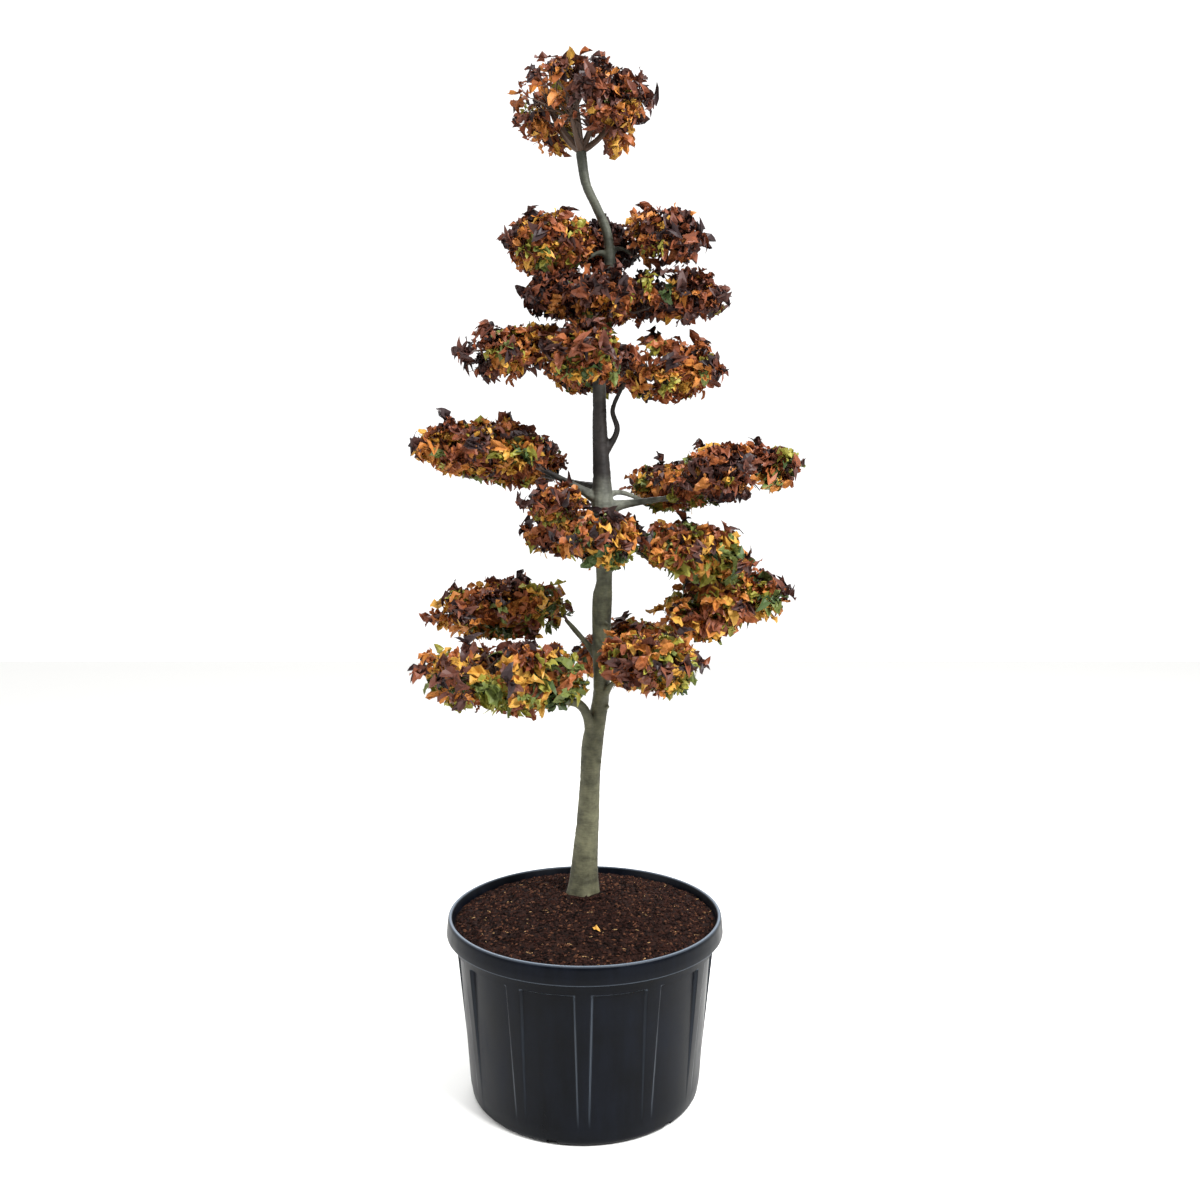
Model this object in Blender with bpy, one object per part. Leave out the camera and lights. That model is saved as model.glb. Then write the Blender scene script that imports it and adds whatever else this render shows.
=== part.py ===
"""Potted european beech, pruned into tiers of leafy pads, in its round plastic growing pot.

Metres, +Z up. The origin is the middle of the pot's flat underside, and the front of the
plant faces -Y. A bearing is counted anticlockwise from +X, so the front is at 270 degrees.
"""

import math
import random

import bmesh
import bpy
from mathutils import Matrix, Vector
from mathutils.bvhtree import BVHTree

# The pot: a moulded round container with a folded rim and twelve recessed panels.
POT_HEIGHT = 0.427
POT_FOOT_RADIUS = 0.269
POT_SHOULDER_RADIUS = 0.307
RIM_RADIUS = 0.325
RIM_DROP = 0.042
RIM_WALL = 0.0045
LIP_RADIUS = 0.3185
LIP_WIDTH = 0.005
FOOT_ROUNDING = 0.015
FLOOR_THICKNESS = 0.006
WALL_THICKNESS = 0.004
PANEL_COUNT = 12
PANEL_WIDTH = 0.115
PANEL_DEPTH = 0.008
PANEL_FOOT = 0.045
PANEL_HEAD = 0.352
PANEL_EDGE = 0.006
DRAIN_COUNT = 6
DRAIN_WIDTH = 0.024
DRAIN_HEIGHT = 0.011
DRAIN_REACH_IN = 0.249
RIM_POINTS = 60
# The rim stands off the wall: the head of the slot behind it, and the small steps at its foot and lip.
SLOT_HEAD_DROP = 0.020
SLOT_LEAN = 0.002
RIM_FOOT_STEP = 0.001
LIP_ROUNDING = 0.005
LIP_SPREAD = 0.003
MOUTH_ROUNDING = 0.004
FLOOR_CORNER = 0.001

# The soil: a plug that fills the pot and domes up to the trunk.
SOIL_POINTS = 30
SOIL_EDGE_HEIGHT = 0.414
SOIL_SEAT_RADIUS = 0.062
SOIL_LUMPS = 0.005
SOIL_FALL = 1.5
SOIL_RINGS = (0.80, 0.56, 0.34)

CLEARANCE = 0.0003

# The trunk, from its flat cut on the soil to its fork: height, place across, place in depth, width.
TRUNK_STATIONS = (
    (0.474, -0.006, 0.000, 0.069),
    (0.530, -0.002, 0.000, 0.062),
    (0.640, 0.007, 0.001, 0.054),
    (0.757, 0.013, 0.003, 0.048),
    (0.836, 0.019, 0.005, 0.050),
    (0.935, 0.037, 0.006, 0.039),
    (1.050, 0.038, 0.003, 0.041),
    (1.167, 0.041, -0.001, 0.047),
    (1.217, 0.045, -0.002, 0.038),
    (1.367, 0.042, -0.004, 0.051),
    (1.449, 0.040, -0.002, 0.042),
    (1.598, 0.034, 0.002, 0.033),
    (1.790, 0.036, 0.003, 0.029),
    (1.918, 0.057, 0.000, 0.025),
    (1.990, 0.051, -0.003, 0.022),
    (2.045, 0.028, -0.002, 0.021),
    (2.100, 0.003, 0.000, 0.022),
    (2.168, -0.007, 0.002, 0.024),
)
TRUNK_SIDES = 12
TRUNK_RING_SPACING = 0.062
FLARE_HEIGHT = 0.035
FLARE_SPREAD = 0.16
FLARE_TOES = 5
FLARE_EVEN = 0.35
FLARE_TURN = 0.6

BOUGH_SIDES = 6
BOUGH_RING_SPACING = 0.040
COLLAR_LENGTH = 0.018
COLLAR_SWELL = 0.45
BOUGH_TAPER = 0.42
# A bough without bends rises first: how far out its bend is, and the share of its rise made by then.
BOUGH_KNEE = 0.42
BOUGH_EARLY_RISE = 0.45
BOUGH_LEAST_RISE = 0.012

# The pads of foliage. Each hangs on one bough. bearing and reach place its middle about the
# trunk, height above the pot's underside; along, across and thick are its half sizes, tilt
# lifts its outer end. leaves_trunk is the height of its bough's root, girth the bough's width.
PADS = {
    "tier1_front_left": dict(bearing=204, reach=0.238, height=1.000, along=0.205, across=0.150,
                             thick=0.090, tilt=4, leaves_trunk=0.805, girth=0.027),
    "tier1_front_right": dict(bearing=311, reach=0.160, height=1.036, along=0.125, across=0.112,
                              thick=0.078, tilt=0, leaves_trunk=0.930, girth=0.017),
    "tier1_right": dict(bearing=8, reach=0.272, height=1.148, along=0.172, across=0.130,
                        thick=0.075, tilt=14, leaves_trunk=1.060, girth=0.018),
    "tier1_back_left": dict(bearing=156, reach=0.250, height=1.132, along=0.200, across=0.140,
                            thick=0.076, tilt=-8, leaves_trunk=1.020, girth=0.018),
    "tier1_back": dict(bearing=72, reach=0.235, height=1.015, along=0.150, across=0.135,
                       thick=0.078, tilt=0, leaves_trunk=0.960, girth=0.017),
    "tier2_front": dict(bearing=266, reach=0.108, height=1.300, along=0.085, across=0.096,
                        thick=0.064, tilt=0, leaves_trunk=1.262, girth=0.014),
    "tier2_right": dict(bearing=348, reach=0.205, height=1.278, along=0.135, across=0.105,
                        thick=0.070, tilt=-12, leaves_trunk=1.285, girth=0.015),
    "tier2_back": dict(bearing=110, reach=0.160, height=1.318, along=0.125, across=0.145,
                       thick=0.064, tilt=0, leaves_trunk=1.300, girth=0.015),
    "tier3_left": dict(bearing=183, reach=0.262, height=1.508, along=0.165, across=0.130,
                       thick=0.076, tilt=2, leaves_trunk=1.390, girth=0.021),
    "tier3_left_inner": dict(bearing=200, reach=0.112, height=1.380, along=0.070, across=0.075,
                             thick=0.048, tilt=0, leaves_trunk=1.335, girth=0.012),
    "tier3_right": dict(bearing=358, reach=0.283, height=1.452, along=0.168, across=0.135,
                        thick=0.078, tilt=6, leaves_trunk=1.375, girth=0.023),
    "tier3_back_left": dict(bearing=139, reach=0.275, height=1.485, along=0.130, across=0.115,
                            thick=0.068, tilt=0, leaves_trunk=1.420, girth=0.016),
    "tier3_back_right": dict(bearing=52, reach=0.270, height=1.425, along=0.140, across=0.125,
                             thick=0.066, tilt=0, leaves_trunk=1.400, girth=0.016),
    "tier4_left": dict(bearing=184, reach=0.172, height=1.722, along=0.148, across=0.112,
                       thick=0.064, tilt=-2, leaves_trunk=1.680, girth=0.014),
    "tier4_right": dict(bearing=352, reach=0.155, height=1.690, along=0.122, across=0.112,
                        thick=0.074, tilt=-4, leaves_trunk=1.490, girth=0.016),
    "tier4_front": dict(bearing=260, reach=0.132, height=1.705, along=0.090, across=0.090,
                        thick=0.070, tilt=0, leaves_trunk=1.655, girth=0.012),
    "tier4_back": dict(bearing=95, reach=0.150, height=1.712, along=0.112, across=0.120,
                       thick=0.066, tilt=0, leaves_trunk=1.668, girth=0.013),
    "tier5_left": dict(bearing=190, reach=0.100, height=1.852, along=0.074, across=0.070,
                       thick=0.048, tilt=0, leaves_trunk=1.828, girth=0.010),
    "tier5_right": dict(bearing=355, reach=0.152, height=1.843, along=0.118, across=0.095,
                        thick=0.062, tilt=-4, leaves_trunk=1.815, girth=0.012),
    "tier5_front": dict(bearing=272, reach=0.096, height=1.838, along=0.072, across=0.070,
                        thick=0.052, tilt=0, leaves_trunk=1.805, girth=0.010),
    "tier5_back": dict(bearing=98, reach=0.125, height=1.858, along=0.095, across=0.100,
                       thick=0.056, tilt=0, leaves_trunk=1.835, girth=0.011),
    "tier6_left": dict(bearing=184, reach=0.130, height=1.964, along=0.102, across=0.092,
                       thick=0.066, tilt=0, leaves_trunk=1.935, girth=0.011),
    "tier6_right": dict(bearing=357, reach=0.120, height=1.974, along=0.090, across=0.088,
                        thick=0.062, tilt=0, leaves_trunk=1.945, girth=0.011),
    "tier6_back": dict(bearing=92, reach=0.122, height=1.985, along=0.085, across=0.095,
                       thick=0.056, tilt=0, leaves_trunk=1.960, girth=0.010),
}
HEAD_CENTRE = (-0.006, 0.000, 2.264)
HEAD_HALF_SIZES = (0.160, 0.146, 0.106)

# Where a bough meets its pad, as shares of the pad's half length inwards and half thickness down.
ENTRY_INWARD = 0.76
ENTRY_BELOW = 0.50
# Two boughs bend before they reach their pads: offsets from the trunk's middle at their roots.
BENDS = {
    "tier1_front_left": ((-0.008, -0.022, 0.085), (-0.030, -0.034, 0.122), (-0.075, -0.050, 0.132)),
    "tier4_right": ((0.036, 0.000, 0.060), (0.026, 0.000, 0.110)),
}

# How full and how rounded a pad is.
SPACE_ROUNDNESS = 2.4
CORE_SHARE = 0.65
CORE_LUMPS = 0.10
BODY_SHARE = 0.92
TIP_SHARE = 0.985
NEIGHBOUR_MARGIN = 0.06
NEIGHBOUR_DISTANCE = 0.45

# Leaves, larger than life so that few of them show the crown's outline.
LEAVES_PER_SQUARE_METRE = 70
STRAY_SHARE = 0.10
LEAF_STEP = 0.008
LEAF_SHORTEST = 5
LEAF_LONGEST = 14
LEAF_SUNK = 0.016
LEAF_WIDTH = 0.072
LEAF_LEANS = (0.2, 0.5, 0.9, 1.5)
LEAF_THICKNESS = 0.0026
LEAF_FOLD = 0.008
LEAF_DROOP = 0.010
LEAF_WIDEST = 0.46
TWIG_RADIUS = 0.0034
STEM_SIDES = 5
STEM_REACH = 0.45
STEM_LEAD = 0.012
HEAD_STEM_SHARE = 0.45
TWIG_TAPER = 0.7
SEED = 2126
WELD_DISTANCE = 2e-7
REGROWTHS = 8


def plain_material(name, hex_colour, roughness):
    """Return a plain non-metal material whose colour is given as an sRGB hex value."""
    material = bpy.data.materials.new(name)
    material.use_nodes = True
    shader = material.node_tree.nodes["Principled BSDF"]
    channels = [int(hex_colour[i:i + 2], 16) / 255 for i in (0, 2, 4)]
    linear = [c / 12.92 if c <= 0.04045 else ((c + 0.055) / 1.055) ** 2.4 for c in channels]
    shader.inputs["Base Color"].default_value = (*linear, 1.0)
    shader.inputs["Roughness"].default_value = roughness
    shader.inputs["Metallic"].default_value = 0.0
    return material


def clear_scene():
    """Remove every object, so that the model stands alone."""
    for thing in list(bpy.data.objects):
        bpy.data.objects.remove(thing, do_unlink=True)


def skin(rings):
    """Return a closed mesh through rings of points, each counted anticlockwise about the way up."""
    built = bmesh.new()
    loops = [[built.verts.new(point) for point in ring] for ring in rings]
    for low, high in zip(loops, loops[1:]):
        for i in range(len(low)):
            j = (i + 1) % len(low)
            built.faces.new((low[i], low[j], high[j], high[i]))
    built.faces.new(list(reversed(loops[0])))
    built.faces.new(loops[-1])
    bmesh.ops.recalc_face_normals(built, faces=built.faces)
    return built


def as_object(name, built, material, parent=None, smooth_angle=40):
    """Turn a bmesh into a named object with its material."""
    mesh = bpy.data.meshes.new(name)
    built.to_mesh(mesh)
    built.free()
    mesh.materials.append(material)
    mesh.shade_smooth()
    mesh.set_sharp_from_angle(angle=math.radians(smooth_angle))
    thing = bpy.data.objects.new(name, mesh)
    bpy.context.scene.collection.objects.link(thing)
    thing.parent = parent
    return thing


def apply_modifiers(thing):
    """Make the modifiers' result the object's own mesh."""
    depsgraph = bpy.context.evaluated_depsgraph_get()
    result = bpy.data.meshes.new_from_object(thing.evaluated_get(depsgraph), depsgraph=depsgraph)
    thing.modifiers.clear()
    thing.data = result


def keep_main_body(thing):
    """Drop the loose scraps and the sealed hollows that a Boolean leaves."""
    built = bmesh.new()
    built.from_mesh(thing.data)
    unseen = set(built.faces)
    bodies = []
    while unseen:
        front = [unseen.pop()]
        body = list(front)
        while front:
            for edge in front.pop().edges:
                for face in edge.link_faces:
                    if face in unseen:
                        unseen.discard(face)
                        body.append(face)
                        front.append(face)
        bodies.append(body)
    main_body = max(bodies, key=len)
    strays = [face for body in bodies if body is not main_body for face in body]
    bmesh.ops.delete(built, geom=strays, context="FACES")
    built.to_mesh(thing.data)
    built.free()


def cut_away(thing, cutter):
    """Cut one object clear of another, and remove the cutter."""
    modifier = thing.modifiers.new("clear", "BOOLEAN")
    modifier.operation = "DIFFERENCE"
    modifier.solver = "EXACT"
    modifier.object = cutter
    apply_modifiers(thing)
    bpy.data.objects.remove(cutter, do_unlink=True)
    keep_main_body(thing)


def blend_along(stations, share):
    """Read a smooth curve through the stations at a share from 0 to their count less one."""
    index = min(int(share), len(stations) - 2)
    t = share - index
    picks = [max(0, index - 1), index, index + 1, min(len(stations) - 1, index + 2)]
    values = []
    for a, b, c, d in zip(*[stations[pick] for pick in picks]):
        value = b + 0.5 * t * (c - a + t * (2 * a - 5 * b + 4 * c - d + t * (3 * (b - c) + d - a)))
        values.append(value)
    return values


def smooth_route(stations, spacing):
    """Return evenly spaced stations on the smooth curve through the given ones."""
    fine = 12
    steps = [blend_along(stations, i / fine) for i in range((len(stations) - 1) * fine + 1)]
    lengths = [0.0]
    for before, after in zip(steps, steps[1:]):
        lengths.append(lengths[-1] + math.dist(before[:3], after[:3]))
    count = max(3, round(lengths[-1] / spacing))
    route = []
    for i in range(count + 1):
        goal = lengths[-1] * i / count
        at = max(1, next((k for k, run in enumerate(lengths) if run >= goal - 1e-9), len(steps) - 1))
        t = (goal - lengths[at - 1]) / (lengths[at] - lengths[at - 1])
        route.append([a + (b - a) * t for a, b in zip(steps[at - 1], steps[at])])
    return route


def frame_about(direction):
    """Return two unit vectors square to a direction and to each other."""
    helper = Vector((0, 1, 0)) if abs(direction.y) < 0.9 else Vector((1, 0, 0))
    side = helper.cross(direction).normalized()
    return side, direction.cross(side).normalized()


def limb_rings(route, radii, sides, first_direction=None):
    """Return the rings of a round limb along a route, with no twist from ring to ring."""
    points = [Vector(point[:3]) for point in route]
    rings = []
    for i, point in enumerate(points):
        direction = (points[min(i + 1, len(points) - 1)] - points[max(i - 1, 0)]).normalized()
        if i == 0:
            direction = Vector(first_direction or direction)
            side, up = frame_about(direction)
        else:
            side = (side - direction * side.dot(direction)).normalized()
            up = direction.cross(side)
        ring = []
        for k in range(sides):
            turn = 2 * math.pi * k / sides
            ring.append(point + radii[i] * (math.cos(turn) * side + math.sin(turn) * up))
        rings.append(ring)
    return rings


def pot_body_radius(height):
    """Return the pot's outer radius on its ribs."""
    share = height / (POT_HEIGHT - RIM_DROP)
    return POT_FOOT_RADIUS + (POT_SHOULDER_RADIUS - POT_FOOT_RADIUS) * share


def pot_inner_radius(height):
    """Return the inner wall's radius: a cone to the panels' heads, then a flare to the lip."""
    low = POT_FOOT_RADIUS - WALL_THICKNESS - FLOOR_CORNER
    head = pot_body_radius(PANEL_HEAD) - PANEL_DEPTH - WALL_THICKNESS
    mouth = LIP_RADIUS - LIP_WIDTH - LIP_SPREAD
    if height <= PANEL_HEAD:
        return low + (head - low) * height / PANEL_HEAD
    return head + (mouth - head) * (height - PANEL_HEAD) / (POT_HEIGHT - MOUTH_ROUNDING - PANEL_HEAD)


def panelled_ring(height, depth):
    """Return an outer ring with the panels sunk to a depth between the ribs."""
    radius = pot_body_radius(height)
    half_panel = 0.5 * PANEL_WIDTH / radius
    edge = PANEL_EDGE / radius
    ring = []
    for i in range(PANEL_COUNT):
        middle = 2 * math.pi * (i + 0.5) / PANEL_COUNT - math.pi / 2
        marks = (-half_panel - edge, -half_panel, 0.0, half_panel, half_panel + edge)
        for mark in marks:
            sunk = depth if abs(mark) <= half_panel else 0.0
            reach = radius - sunk
            ring.append((reach * math.cos(middle + mark), reach * math.sin(middle + mark), height))
    return ring


def plain_ring(radius, height, count=RIM_POINTS):
    """Return an even round ring that lines up with the ribs."""
    first = -math.pi / 2 + math.pi / PANEL_COUNT - 2 * 2 * math.pi / RIM_POINTS
    turns = [first + 2 * math.pi * i / count for i in range(count)]
    return [(radius * math.cos(turn), radius * math.sin(turn), height) for turn in turns]


def build_pot(material, parent):
    """Make the pot as one shell, then open its drain holes."""
    rim_foot = POT_HEIGHT - RIM_DROP
    slot_top = POT_HEIGHT - SLOT_HEAD_DROP
    rings = [
        plain_ring(POT_FOOT_RADIUS - FOOT_ROUNDING, 0.0),
        panelled_ring(FOOT_ROUNDING, 0.0),
        panelled_ring(PANEL_FOOT, 0.0),
        panelled_ring(PANEL_HEAD, PANEL_DEPTH),
        panelled_ring(PANEL_HEAD + PANEL_EDGE, 0.0),
        plain_ring(pot_body_radius(slot_top), slot_top),
        plain_ring(RIM_RADIUS - RIM_WALL - SLOT_LEAN, slot_top),
        plain_ring(RIM_RADIUS - RIM_WALL, rim_foot),
        plain_ring(RIM_RADIUS, rim_foot + RIM_FOOT_STEP),
        plain_ring(LIP_RADIUS + LIP_SPREAD, POT_HEIGHT - LIP_ROUNDING),
        plain_ring(LIP_RADIUS, POT_HEIGHT),
        plain_ring(LIP_RADIUS - LIP_WIDTH, POT_HEIGHT),
        plain_ring(pot_inner_radius(POT_HEIGHT - MOUTH_ROUNDING), POT_HEIGHT - MOUTH_ROUNDING),
        plain_ring(pot_inner_radius(PANEL_HEAD), PANEL_HEAD),
        plain_ring(pot_inner_radius(FLOOR_THICKNESS), FLOOR_THICKNESS),
    ]
    middle_turn = math.pi / 4
    bevel = FOOT_ROUNDING * (1 - math.cos(middle_turn))
    bevel_height = FOOT_ROUNDING * (1 - math.sin(middle_turn))
    rings.insert(1, plain_ring(POT_FOOT_RADIUS - bevel, bevel_height))
    pot = as_object("pot", skin(rings), material, parent, smooth_angle=30)
    cutters = bmesh.new()
    length = POT_FOOT_RADIUS + 0.02 - DRAIN_REACH_IN
    for i in range(DRAIN_COUNT):
        turn = 2 * math.pi * (2 * i + 0.5) / PANEL_COUNT - math.pi / 2 - math.pi / 6
        place = Matrix.Rotation(turn, 4, "Z") @ Matrix.Translation((DRAIN_REACH_IN + length / 2, 0, 0))
        size = Matrix.Diagonal((length, DRAIN_WIDTH, 2 * DRAIN_HEIGHT, 1))
        bmesh.ops.create_cube(cutters, size=1.0, matrix=place @ size)
    cut_away(pot, as_object("drain_cutter", cutters, material))
    return pot


def soil_height(radius):
    """Return the height of the soil's dome at a distance from its middle."""
    top = TRUNK_STATIONS[0][0] - CLEARANCE
    share = max(0.0, (radius - SOIL_SEAT_RADIUS) / (pot_inner_radius(SOIL_EDGE_HEIGHT) - SOIL_SEAT_RADIUS))
    return top - (top - SOIL_EDGE_HEIGHT) * share ** SOIL_FALL


def build_soil(material, parent):
    """Make the plug of soil that fills the pot, with a lumpy dome and a level seat for the trunk."""
    rng = random.Random(SEED)
    seat = Vector((TRUNK_STATIONS[0][1], TRUNK_STATIONS[0][2], 0))
    floor = FLOOR_THICKNESS + CLEARANCE
    rings = [plain_ring(pot_inner_radius(height) - CLEARANCE, height, SOIL_POINTS)
             for height in (floor, PANEL_HEAD, SOIL_EDGE_HEIGHT)]
    edge = pot_inner_radius(SOIL_EDGE_HEIGHT)
    for share in SOIL_RINGS:
        ring = []
        for x, y, _ in plain_ring(share * edge, 0.0, SOIL_POINTS):
            lump = rng.uniform(-SOIL_LUMPS, SOIL_LUMPS) - 0.5 * SOIL_LUMPS
            ring.append((x, y, soil_height(share * edge) + lump))
        rings.append(ring)
    level = soil_height(0.0)
    seat_ring = plain_ring(SOIL_SEAT_RADIUS, 0, SOIL_POINTS)
    rings.append([(x + seat.x, y + seat.y, level) for x, y, _ in seat_ring])
    return as_object("soil", skin(rings), material, parent, smooth_angle=80)


def trunk_stations():
    """Return the trunk's stations as place and width, evenly spaced along its curve."""
    named = [(x, y, z, width) for z, x, y, width in TRUNK_STATIONS]
    return smooth_route(named, TRUNK_RING_SPACING)


def trunk_axis(height):
    """Return the trunk's middle at a height."""
    stations = trunk_stations()
    for low, high in zip(stations, stations[1:]):
        if height <= high[2]:
            share = max(0.0, (height - low[2]) / (high[2] - low[2]))
            return Vector([a + (b - a) * share for a, b in zip(low[:3], high[:3])])
    return Vector(stations[-1][:3])


def trunk_mesh(extra=0.0):
    """Skin the trunk, with toes on its root flare; extra grows it all round."""
    route = trunk_stations()
    radii = [0.5 * station[3] + extra for station in route]
    rings = limb_rings(route, radii, TRUNK_SIDES, first_direction=(0, 0, 1))
    foot = route[0][2]
    flared = []
    for station, ring in zip(route, rings):
        middle = Vector(station[:3])
        fade = math.exp(-(station[2] - foot) / FLARE_HEIGHT)
        new_ring = []
        for point in ring:
            arm = point - middle
            turn = math.atan2(arm.y, arm.x)
            toe = 0.5 + 0.5 * math.cos(FLARE_TOES * turn + FLARE_TURN)
            new_ring.append(middle + arm * (1 + fade * FLARE_SPREAD * (FLARE_EVEN + toe)))
        flared.append(new_ring)
    return skin(flared)


def pad_space(pad):
    """Return a pad's middle, its three unit axes and its half sizes."""
    turn = math.radians(pad["bearing"])
    tilt = math.radians(pad["tilt"])
    out = Vector((math.cos(turn), math.sin(turn), 0))
    across = Vector((-out.y, out.x, 0))
    along = out * math.cos(tilt) + Vector((0, 0, math.sin(tilt)))
    up = along.cross(across)
    middle = trunk_axis(pad["height"]) + pad["reach"] * out
    middle.z = pad["height"]
    return middle, (along, across, up), (pad["along"], pad["across"], pad["thick"])


def head_space():
    """Return the space of the rounded head on the trunk's fork."""
    axes = (Vector((1, 0, 0)), Vector((0, 1, 0)), Vector((0, 0, 1)))
    return Vector(HEAD_CENTRE), axes, HEAD_HALF_SIZES


def depth_in(space, point):
    """Return 0 in the middle of a space and 1 on its rounded outside."""
    middle, axes, sizes = space
    offset = Vector(point) - middle
    total = sum(abs(offset.dot(axis) / size) ** SPACE_ROUNDNESS for axis, size in zip(axes, sizes))
    return total ** (1 / SPACE_ROUNDNESS)


def point_in(space, direction, share):
    """Return the point at a share of the way from a space's middle to its outside."""
    middle, axes, sizes = space
    reach = sum(abs(d) ** SPACE_ROUNDNESS for d in direction) ** (-1 / SPACE_ROUNDNESS)
    point = middle.copy()
    for axis, size, d in zip(axes, sizes, direction):
        point += axis * (size * d * reach * share)
    return point


def outward(space, point):
    """Return the way straight out of a space at a point."""
    middle, axes, sizes = space
    offset = Vector(point) - middle
    way = Vector((0, 0, 0))
    for axis, size in zip(axes, sizes):
        run = offset.dot(axis) / size
        way += axis * (math.copysign(abs(run) ** (SPACE_ROUNDNESS - 1), run) / size)
    return way.normalized()


def bough_route(name, pad):
    """Return a bough's stations: from the trunk's middle to where it enters its pad."""
    space = pad_space(pad)
    middle, (along, _, up), (half_length, _, half_thick) = space
    root = trunk_axis(pad["leaves_trunk"])
    entry = middle - along * half_length * ENTRY_INWARD - up * half_thick * ENTRY_BELOW
    stations = [root]
    if name in BENDS:
        stations += [root + Vector(offset) for offset in BENDS[name]]
    else:
        level = Vector((entry.x - root.x, entry.y - root.y, 0))
        rise = max(BOUGH_LEAST_RISE, BOUGH_EARLY_RISE * (entry.z - root.z))
        stations.append(root + BOUGH_KNEE * level + Vector((0, 0, rise)))
    stations.append(entry)
    route = smooth_route([list(point) for point in stations], BOUGH_RING_SPACING)
    return [Vector(point) for point in route]


def build_bough(name, pad, trunk_radius, material, parent):
    """Make one tapering bough, cut clear of the trunk, and return it with its tip's place and way."""
    route = bough_route(name, pad)
    thick = 0.5 * pad["girth"]
    radii = []
    run = -trunk_radius
    for i, point in enumerate(route):
        share = i / (len(route) - 1)
        collar = 1 + COLLAR_SWELL * math.exp(-max(run, 0.0) / COLLAR_LENGTH)
        radii.append(thick * (1 - BOUGH_TAPER * share) * collar)
        if i + 1 < len(route):
            run += (route[i + 1] - point).length
    bough = as_object("bough_" + name, skin(limb_rings(route, radii, BOUGH_SIDES)), material, parent)
    cut_away(bough, as_object("trunk_cutter", trunk_mesh(CLEARANCE), material))
    way = (route[-1] - route[-2]).normalized()
    return bough, route[-1], way, radii[-1]


def leaf_mesh(root, tip, face_way, width):
    """Return the points and faces of one leaf: a thin folded blade of eight faces."""
    along = tip - root
    length = along.length
    along.normalize()
    across = face_way.cross(along).normalized()
    face = along.cross(across).normalized()
    widest = root + along * (LEAF_WIDEST * length)
    points = [
        root,
        tip - face * LEAF_DROOP,
        widest + across * width / 2 + face * LEAF_FOLD,
        widest - across * width / 2 + face * LEAF_FOLD,
        widest + face * LEAF_THICKNESS / 2,
        widest - face * LEAF_THICKNESS / 2,
    ]
    faces = [(0, 3, 4), (3, 1, 4), (1, 2, 4), (2, 0, 4), (3, 0, 5), (1, 3, 5), (2, 1, 5), (0, 2, 5)]
    return points, faces


def twig_mesh(start, end, radius):
    """Return the points and faces of one straight three-sided twig."""
    side, up = frame_about((end - start).normalized())
    points = []
    for middle, girth in ((start, radius), (end, TWIG_TAPER * radius)):
        for k in range(3):
            turn = 2 * math.pi * k / 3
            points.append(middle + girth * (math.cos(turn) * side + math.sin(turn) * up))
    faces = [(2, 1, 0), (3, 4, 5), (0, 1, 4, 3), (1, 2, 5, 4), (2, 0, 3, 5)]
    return points, faces


def keeps_to_space(shape, space, others, limbs):
    """Say whether a leaf or twig stays in its own space and touches no limb."""
    points, faces = shape
    for point in points:
        own = depth_in(space, point)
        if own > 1.0 or any(depth_in(other, point) < own + NEIGHBOUR_MARGIN for other in others):
            return False
    return not BVHTree.FromPolygons(points, faces).overlap(limbs)


def leaf_root(space, tip, way):
    """Return where a leaf that ends at a tip is rooted in the core, or None if that is too far."""
    for step in range(LEAF_SHORTEST, LEAF_LONGEST + 1):
        root = tip - way * (step * LEAF_STEP)
        if depth_in(space, root) < CORE_SHARE * (1 - CORE_LUMPS):
            return root - way * LEAF_SUNK
    return None


def ellipsoid_area(sizes):
    """Return about the area of an ellipsoid of these half sizes."""
    power = 1.6
    pairs = [(a * b) ** power for a, b in zip(sizes, sizes[1:] + sizes[:1])]
    return 4 * math.pi * (sum(pairs) / 3) ** (1 / power)


def spread(count, rng):
    """Yield ways that are spread evenly all round by the golden angle, the far ends first."""
    yield from ((1.0, 0.0, 0.0), (0.0, 1.0, 0.0), (0.0, -1.0, 0.0), (0.0, 0.0, 1.0))
    for i in range(count):
        level = 1 - 2 * (i + 0.5) / count
        turn = i * math.pi * (3 - math.sqrt(5)) + rng.uniform(-0.15, 0.15)
        flat = math.sqrt(1 - level * level)
        yield (flat * math.cos(turn), flat * math.sin(turn), level)


def jitter(rng, amount):
    """Return a small random offset."""
    return Vector([rng.uniform(-amount, amount) for _ in range(3)])


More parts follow.
